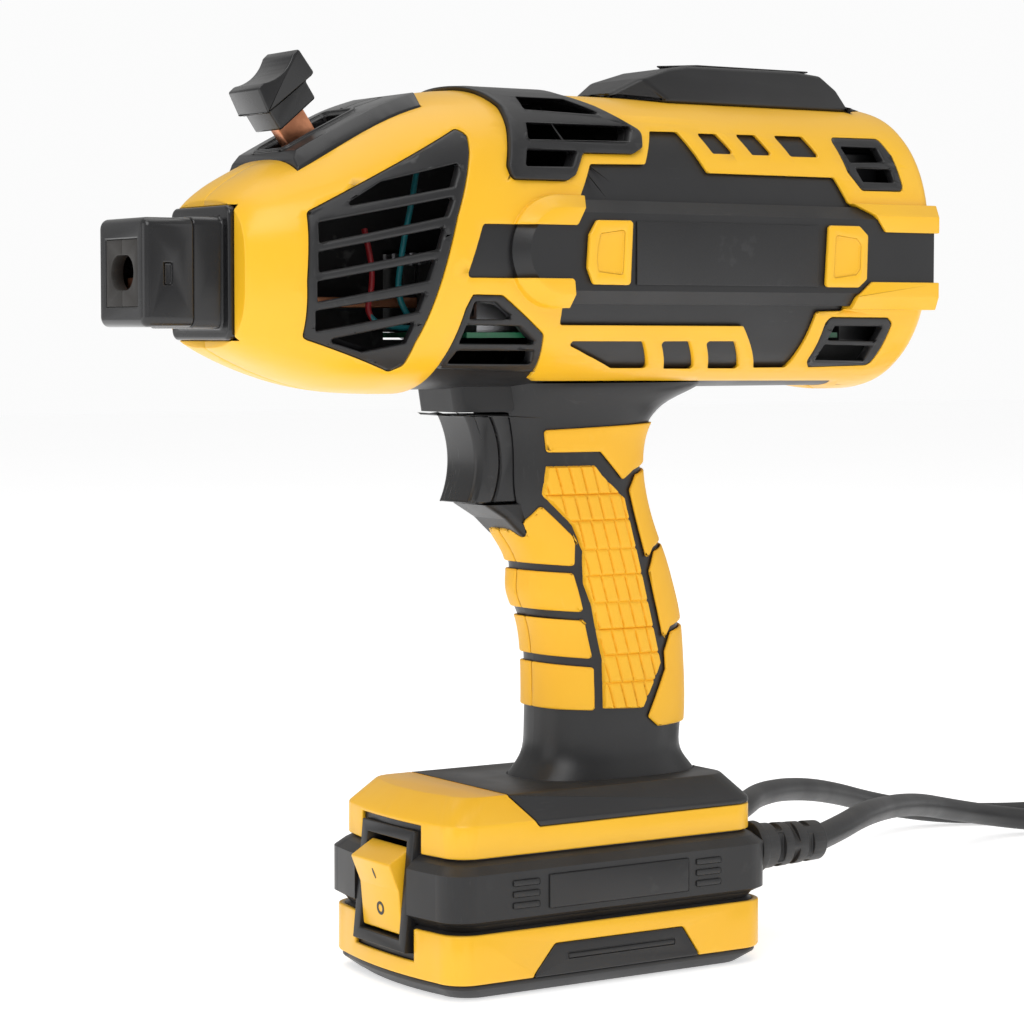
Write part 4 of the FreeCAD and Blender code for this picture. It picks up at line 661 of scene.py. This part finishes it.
@dataclass
class CoilSpring:
    """A coil spring that fills the outer form of a frame node."""

    node: str
    wire: float
    turns: float
    along: tuple[float, float, float]
    across: tuple[float, float, float]
    joint: str = ""
    keep: float = 1.0
    sides: int = 10
    steps: int = 26

    def build(self, frame: dict, wardrobe: Wardrobe) -> None:
        """Wind the spring along its node's middle line.

        A point of the wire's middle line is at angle a round the axis, at height
        proportional to a. The wire's round section stands across that line, spread
        over the outward direction and the direction across it and the line.

        Args:
            frame: The loaded frame; not used.
            wardrobe: Puts the wire's finish on it.
        """
        low, high = (np.array(corner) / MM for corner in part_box(self.node))
        along, across = np.array(self.along), np.array(self.across)
        other = np.cross(along, across)
        middle = (low + high) / 2
        length = abs((high - low) @ along) - self.wire
        radius = abs((high - low) @ across) / 2 - self.wire / 2
        angle = np.linspace(0, 2 * math.pi * self.turns, int(self.turns * self.steps))
        outward = np.cos(angle)[:, None] * across + np.sin(angle)[:, None] * other
        onward = -np.sin(angle)[:, None] * across + np.cos(angle)[:, None] * other
        line = middle + outward * radius + (angle / angle[-1] - 0.5)[:, None] * length * along
        third = np.cross(outward, onward * radius * angle[-1] + along * length)
        third /= np.linalg.norm(third, axis=1)[:, None]
        round_it = np.linspace(0, 2 * math.pi, self.sides, endpoint=False)
        ring = (np.cos(round_it)[None, :, None] * outward[:, None]
                + np.sin(round_it)[None, :, None] * third[:, None]) * self.wire / 2
        points = (line[:, None] + ring).reshape(-1, 3) * MM
        faces = grid_faces(len(line), self.sides, False, True).tolist()
        last = len(points) - self.sides
        ends = [list(range(self.sides)), list(range(last + self.sides - 1, last - 1, -1))]
        spring = put_mesh(self.node + "_coil", points, faces + ends)
        wardrobe.dress(spring, STEEL)
        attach(spring, ROOT)
        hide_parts(self.node)
        if self.joint:
            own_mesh(spring)
        LOG.info("%s wound", spring.name)


@dataclass
class RockerMarks:
    """The on and off marks, a bar and a ring, inlaid in the rocker's two faces."""

    upper: tuple[Point, Point] = ((-66.0, 0.0, 38.9), (-62.6, 0.0, 30.5))
    lower: tuple[Point, Point] = ((-62.6, 0.0, 30.5), (-61.4, 0.0, 16.9))
    stroke: float = 0.9
    proud: float = 0.12

    def build(self, wardrobe: Wardrobe) -> None:
        """Make both marks and let them ride on the rocker."""
        for name, (top, bottom), size in (("on", self.upper, 0.0), ("off", self.lower, 2.1)):
            mark = self._ring(f"rocker_mark_{name}", np.array(top), np.array(bottom), size)
            wardrobe.dress(mark, INSERT)
            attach(mark, "rocker")
            LOG.info("%s inlaid", mark.name)

    def _ring(self, name: str, top: np.ndarray, bottom: np.ndarray, size: float) -> bpy.types.Object:
        """A closed loop of low half-round section: a ring, or a bar where its size is 0.

        The loop's middle line is a circle of the given radius. A bar is a circle of
        half a stroke, stretched fourfold up the face.
        """
        down = (bottom - top) / np.linalg.norm(bottom - top)
        side = np.array([0.0, 1.0, 0.0])
        out = np.cross(down, side)
        out *= -1.0 if out[0] > 0 else 1.0
        middle = (top + bottom) / 2
        angle = np.linspace(0, 2 * math.pi, 40, endpoint=False)
        stretch = 1.0 if size else 4.0
        radius = size or self.stroke / 2
        round_line = np.cos(angle)[:, None] * side + stretch * np.sin(angle)[:, None] * down
        inner = max(radius - self.stroke, 0.02)
        levels = [(inner, -0.3), (inner, self.proud), (radius, self.proud), (radius, -0.3)]
        rings = [middle + round_line * r + out * h for r, h in levels]
        points = np.concatenate(rings) * MM
        faces = grid_faces(len(levels), len(angle), True, True)
        return put_mesh(name, points, faces.tolist(), smooth=False)


# ------------------------------------------------------------------ leads
@dataclass
class Coil:
    """A neat two-layer coil, wound clockwise seen from above."""

    centre: tuple[float, float]
    start_deg: float
    turned_deg: float
    end_radius: float
    inner: float = 37.6
    outer: float = 54.4
    low: float = 4.2
    high: float = 12.4
    step_deg: float = 22.5

    def points(self) -> list[Point]:
        """Control points, in millimetres, from the first turn to the last.

        The radius falls from outer to inner over two turns on the floor. The lead
        then climbs onto that layer in a quarter turn and winds outwards again.
        """
        down, climb = 720.0, 90.0
        turned = np.arange(self.step_deg, self.turned_deg + 0.1, self.step_deg)
        falling = self.outer - (self.outer - self.inner) * turned / down
        rising = self.inner + (self.end_radius - self.inner) * (turned - down - climb) / (
            self.turned_deg - down - climb)
        radius = np.where(turned <= down, falling, np.maximum(self.inner, rising))
        radius = radius / math.cos(math.radians(self.step_deg / 2))
        share = np.clip((turned - down) / climb, 0.0, 1.0)
        height = self.low + (self.high - self.low) * share
        angle = np.radians(self.start_deg - turned)
        x = self.centre[0] + radius * np.cos(angle)
        y = self.centre[1] + radius * np.sin(angle)
        return list(map(tuple, np.stack([x, y, height], 1)))


@dataclass
class Lead:
    """One free lead: its route out of the base, its coil and what is on its end."""

    name: str
    route: Sequence[Point]
    coil: Coil
    tail: Sequence[Point]
    length: float
    far_end: str
    replaced: Sequence[str]
    on_it: Sequence[str]
    diameter: float = 8.4

    def build(self, wardrobe: Wardrobe, made: dict[str, bpy.types.Object]) -> bpy.types.Object:
        """Make the lead as one smooth NURBS line with a round section.

        Args:
            wardrobe: Puts the sheath's finish on it.
            made: The piece that stands for each node on the lead; not used.

        Returns:
            The lead.
        """
        points = [*self.route, *self.coil.points(), *self.tail]
        curve = bpy.data.curves.new(self.name, "CURVE")
        curve.dimensions = "3D"
        curve.bevel_depth = self.diameter / 2 * MM
        curve.bevel_resolution = 6
        curve.resolution_u = 6
        curve.use_fill_caps = True
        spline = curve.splines.new("NURBS")
        spline.points.add(len(points) - 1)
        homogeneous = np.hstack([np.array(points) * MM, np.ones((len(points), 1))])
        spline.points.foreach_set("co", homogeneous.ravel())
        spline.order_u = 3
        spline.use_endpoint_u = True
        lead = bpy.data.objects.new(self.name, curve)
        bpy.context.scene.collection.objects.link(lead)
        wardrobe.dress(lead, CORD)
        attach(lead, ROOT)
        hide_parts(*self.replaced)
        return lead


MAINS = Lead(
    name="mains_lead",
    route=[
        (88.0, -24.5, 34.5), (104.0, -16.5, 35.4), (128.0, 1.0, 35.4), (156.0, 23.5, 32.4),
        (184.0, 46.0, 28.2), (212.0, 66.5, 23.2), (241.0, 85.0, 16.5), (273.0, 101.0, 9.5),
        (298.3, 100.2, 5.0), (320.0, 87.2, 4.2), (332.5, 65.3, 4.2), (333.8, 40.0, 4.2),
        (332.4, 17.0, 4.2), (332.4, -2.0, 4.2),
    ],
    coil=Coil(centre=(278.0, -16.0), start_deg=0.0, turned_deg=1440.0, end_radius=53.0),
    tail=[(328.5, -30.8, 14.5), (320.5, -41.0, 19.0), (308.4, -48.0, 21.2), (294.0, -50.0, 21.4)],
    length=1.59, far_end="plug", replaced=("mains_cord", "mains_coil"),
    on_it=("mains_plug", "strain_relief_mains"),
)
EARTH = Lead(
    name="earth_lead",
    route=[
        (88.0, 24.5, 34.5), (102.0, 33.5, 36.0), (122.0, 52.0, 36.0), (146.0, 69.5, 34.0),
        (174.0, 87.0, 29.6), (204.0, 107.0, 22.8), (231.0, 125.0, 15.6), (256.0, 136.0, 9.4),
        (281.0, 135.5, 4.8), (303.0, 123.0, 4.2), (328.0, 117.0, 4.2), (356.0, 114.6, 4.2),
        (382.0, 114.4, 4.2),
    ],
    coil=Coil(centre=(398.0, 60.0), start_deg=90.0, turned_deg=1192.5, end_radius=50.2),
    tail=[(437.0, 26.6, 12.0), (427.5, 10.6, 10.0)],
    length=1.31, far_end="fitting", replaced=("earth_cable", "earth_coil"),
    on_it=("earth_clamp_lower", "earth_clamp_upper", "earth_clamp_pin", "earth_clamp_spring",
           "strain_relief_earth"),
)


# ------------------------------------------------------------------ studio
@dataclass
class Studio:
    """Floor, soft lights and camera."""

    eye: Point = (-0.5218, -0.7843, 0.1994)
    aim: Point = (-0.01407, 0.0, 0.1436)
    lens: float = 105.3

    def build(self) -> None:
        """Put the camera, the lights and the floor in place."""
        camera = bpy.data.objects.new("camera", bpy.data.cameras.new("camera"))
        camera.data.lens = self.lens
        camera.data.sensor_width = 36.0
        camera.location = self.eye
        camera.rotation_mode = "QUATERNION"
        camera.rotation_quaternion = (Vector(self.aim) - Vector(self.eye)).to_track_quat("-Z", "Y")
        bpy.context.scene.collection.objects.link(camera)
        bpy.context.scene.camera = camera
        self._light("key", (-0.9, -1.1, 1.5), 1.2, 13.0)
        self._light("fill", (1.3, -0.9, 0.8), 1.4, 3.4)
        self._light("top", (0.1, 0.3, 1.9), 1.6, 9.0)
        self._light("front", (-1.5, 0.2, 0.5), 1.0, 3.0)
        world = bpy.data.worlds.new("studio")
        world.use_nodes = True
        tree = Tree(world.node_tree)
        background = world.node_tree.nodes["Background"]
        background.inputs["Color"].default_value = (1.0, 1.0, 1.0, 1.0)
        seen = tree.add("LightPath").outputs["Is Camera Ray"]
        strength = tree.math("ADD", tree.math("MULTIPLY", seen, 0.55), 0.42)
        tree.tree.links.new(strength, background.inputs["Strength"])
        bpy.context.scene.world = world
        bpy.context.scene.view_settings.view_transform = "Standard"
        self._floor()

    def _light(self, name: str, place: Point, size: float, power: float) -> None:
        """A square soft light that faces the machine."""
        light = bpy.data.lights.new(name, "AREA")
        light.size = size
        light.energy = power
        lamp = bpy.data.objects.new(name, light)
        lamp.location = place
        lamp.rotation_mode = "QUATERNION"
        lamp.rotation_quaternion = (Vector((0.05, 0.0, 0.12)) - Vector(place)).to_track_quat("-Z", "Y")
        bpy.context.scene.collection.objects.link(lamp)

    def _floor(self) -> None:
        """A wide pale sheet, a grid that is flat everywhere."""
        steps = np.linspace(-6.0, 6.0, 25)
        x, y = np.meshgrid(steps, steps, indexing="ij")
        points = np.stack([x.ravel(), y.ravel(), np.full(x.size, -0.0002)], 1)
        floor = put_mesh("floor", points, grid_faces(25, 25, False, False)[:, ::-1], smooth=False)
        material = bpy.data.materials.new("pale_floor")
        material.use_nodes = True
        tree = Tree(material.node_tree)
        shader = material.node_tree.nodes["Principled BSDF"]
        where = tree.add("TexCoord").outputs["Object"]
        tone = tree.blend(tree.noise(where, 3.0, 3.0), (0.90, 0.90, 0.90, 1.0), (0.93, 0.93, 0.93, 1.0))
        tree.tree.links.new(tone, shader.inputs["Base Color"])
        shader.inputs["Roughness"].default_value = 0.7
        shader.inputs["Emission Color"].default_value = (1.0, 1.0, 1.0, 1.0)
        shader.inputs["Emission Strength"].default_value = 0.57
        floor.data.materials.append(material)


BARREL = SubAssembly("barrel", [
    Cover("barrel_cover_left", YELLOW, 0.3, merge_mm=0.24),
    Cover("barrel_cover_right", YELLOW, 0.3, merge_mm=0.24),
    Cover("main_shell_left", SHELL), Cover("main_shell_right", SHELL),
    Cover("top_vent_cap", INSERT, 0.6), Cover("display_housing", INSERT, 1.4, 3),
    Cover("display_overlay", FILM, 0.25), Cover("side_plates", PLATE, 0.3),
    Cover("side_clips", YELLOW, 0.5), Cover("rear_grille", INSERT, 0.5),
    Cover("front_grille_left", INSERT, 0.8, 3), Cover("front_grille_right", INSERT, 0.8, 3),
    Cover("belly_vents", INSERT, 0.6), Cover("rear_vents", INSERT, 0.6),
    Cover("case_screws", STEEL, 0.25),
])
NOSE_END = SubAssembly("nose", [
    Cover("nose_block", NOSE, 0.6, 3), Cover("nose_flange", NOSE, 0.6, 3),
    Cover("jaw_insulator_left", INSULATOR, 0.25), Cover("jaw_insulator_right", INSULATOR, 0.25),
    Cover("fixed_jaw", COPPER, 0.3), Cover("clamp_lever", COPPER, 0.4),
    Cover("lever_knob", NOSE, 0.55, 3), Cover("front_deck", DECK_FINISH, 0.5, 3),
    Cover("lever_pin", STEEL, 0.3), Cover("lever_bracket", STEEL, 0.3),
])
HANDLE = Grip("grip", [
    Cover("grip_pads_left", SOFT_YELLOW, 0.55, 3), Cover("grip_pads_right", SOFT_YELLOW, 0.55, 3),
    Cover("trigger", TRIGGER, 0.6, 3), Cover("trigger_switch", EPOXY),
])
STAND = SubAssembly("base", [
    Cover("base_upper_cover", YELLOW, 0.5), Cover("base_deck", INSERT, 0.5),
    Cover("base_lower_cover", YELLOW, 0.5), Cover("base_foot", INSERT, 0.4),
    Cover("base_tabs", INSERT, 0.5), Cover("base_plates", INSERT, 0.4),
    Cover("rocker_switch_body", INSERT, 0.4), Cover("rocker", YELLOW, 0.5, 3),
])
WORKS = SubAssembly("works", [
    Cover("fan_frame", INSERT, 0.4), Cover("fan_rotor", INSERT, 0.2), Cover("main_board", BOARD),
    Cover("heatsinks", SINK),
    Cover("transformer_core", FERRITE, 0.4), Cover("transformer_winding", FOIL, 0.4),
    Cover("bus_capacitors", SLEEVE, 0.6), Cover("power_modules", EPOXY, 0.2),
    Cover("air_guide", SHEET), Cover("signal_wires", WIRE),
])
LEAD_ENDS = SubAssembly("lead ends", [
    Cover("strain_relief_mains", CORD, 0.3), Cover("strain_relief_earth", CORD, 0.3),
    Cover("mains_plug", CORD, 0.5), Cover("earth_clamp_lower", PLATED, 0.3),
    Cover("earth_clamp_upper", PLATED, 0.3), Cover("earth_clamp_pin", STEEL, 0.3),
    Cover("earth_clamp_spring", STEEL),
])
SPRINGS = [
    CoilSpring("lever_spring", 1.0, 7.0, (0.0, 0.0, -1.0), (1.0, 0.0, 0.0), "clamp_lever_hinge", 0.91),
    CoilSpring("trigger_spring", 0.8, 8.0, (1.0, 0.0, 0.0), (0.0, 1.0, 0.0), "trigger_slide", 0.62),
]


def main() -> None:
    """Build the studio, the leads and every piece over the frame."""
    logging.basicConfig(level=logging.INFO, format="%(message)s")
    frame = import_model()
    Studio().build()
    wardrobe = Wardrobe()
    made = LEAD_ENDS.build(frame, wardrobe)
    for lead in (MAINS, EARTH):
        lead.build(wardrobe, made)
        LOG.info("%s laid", lead.name)
    for assembly in (BARREL, NOSE_END, HANDLE, STAND, WORKS):
        assembly.build(frame, wardrobe)
    for spring in SPRINGS:
        spring.build(frame, wardrobe)
    RockerMarks().build(wardrobe)


if __name__ == "__main__":
    main()
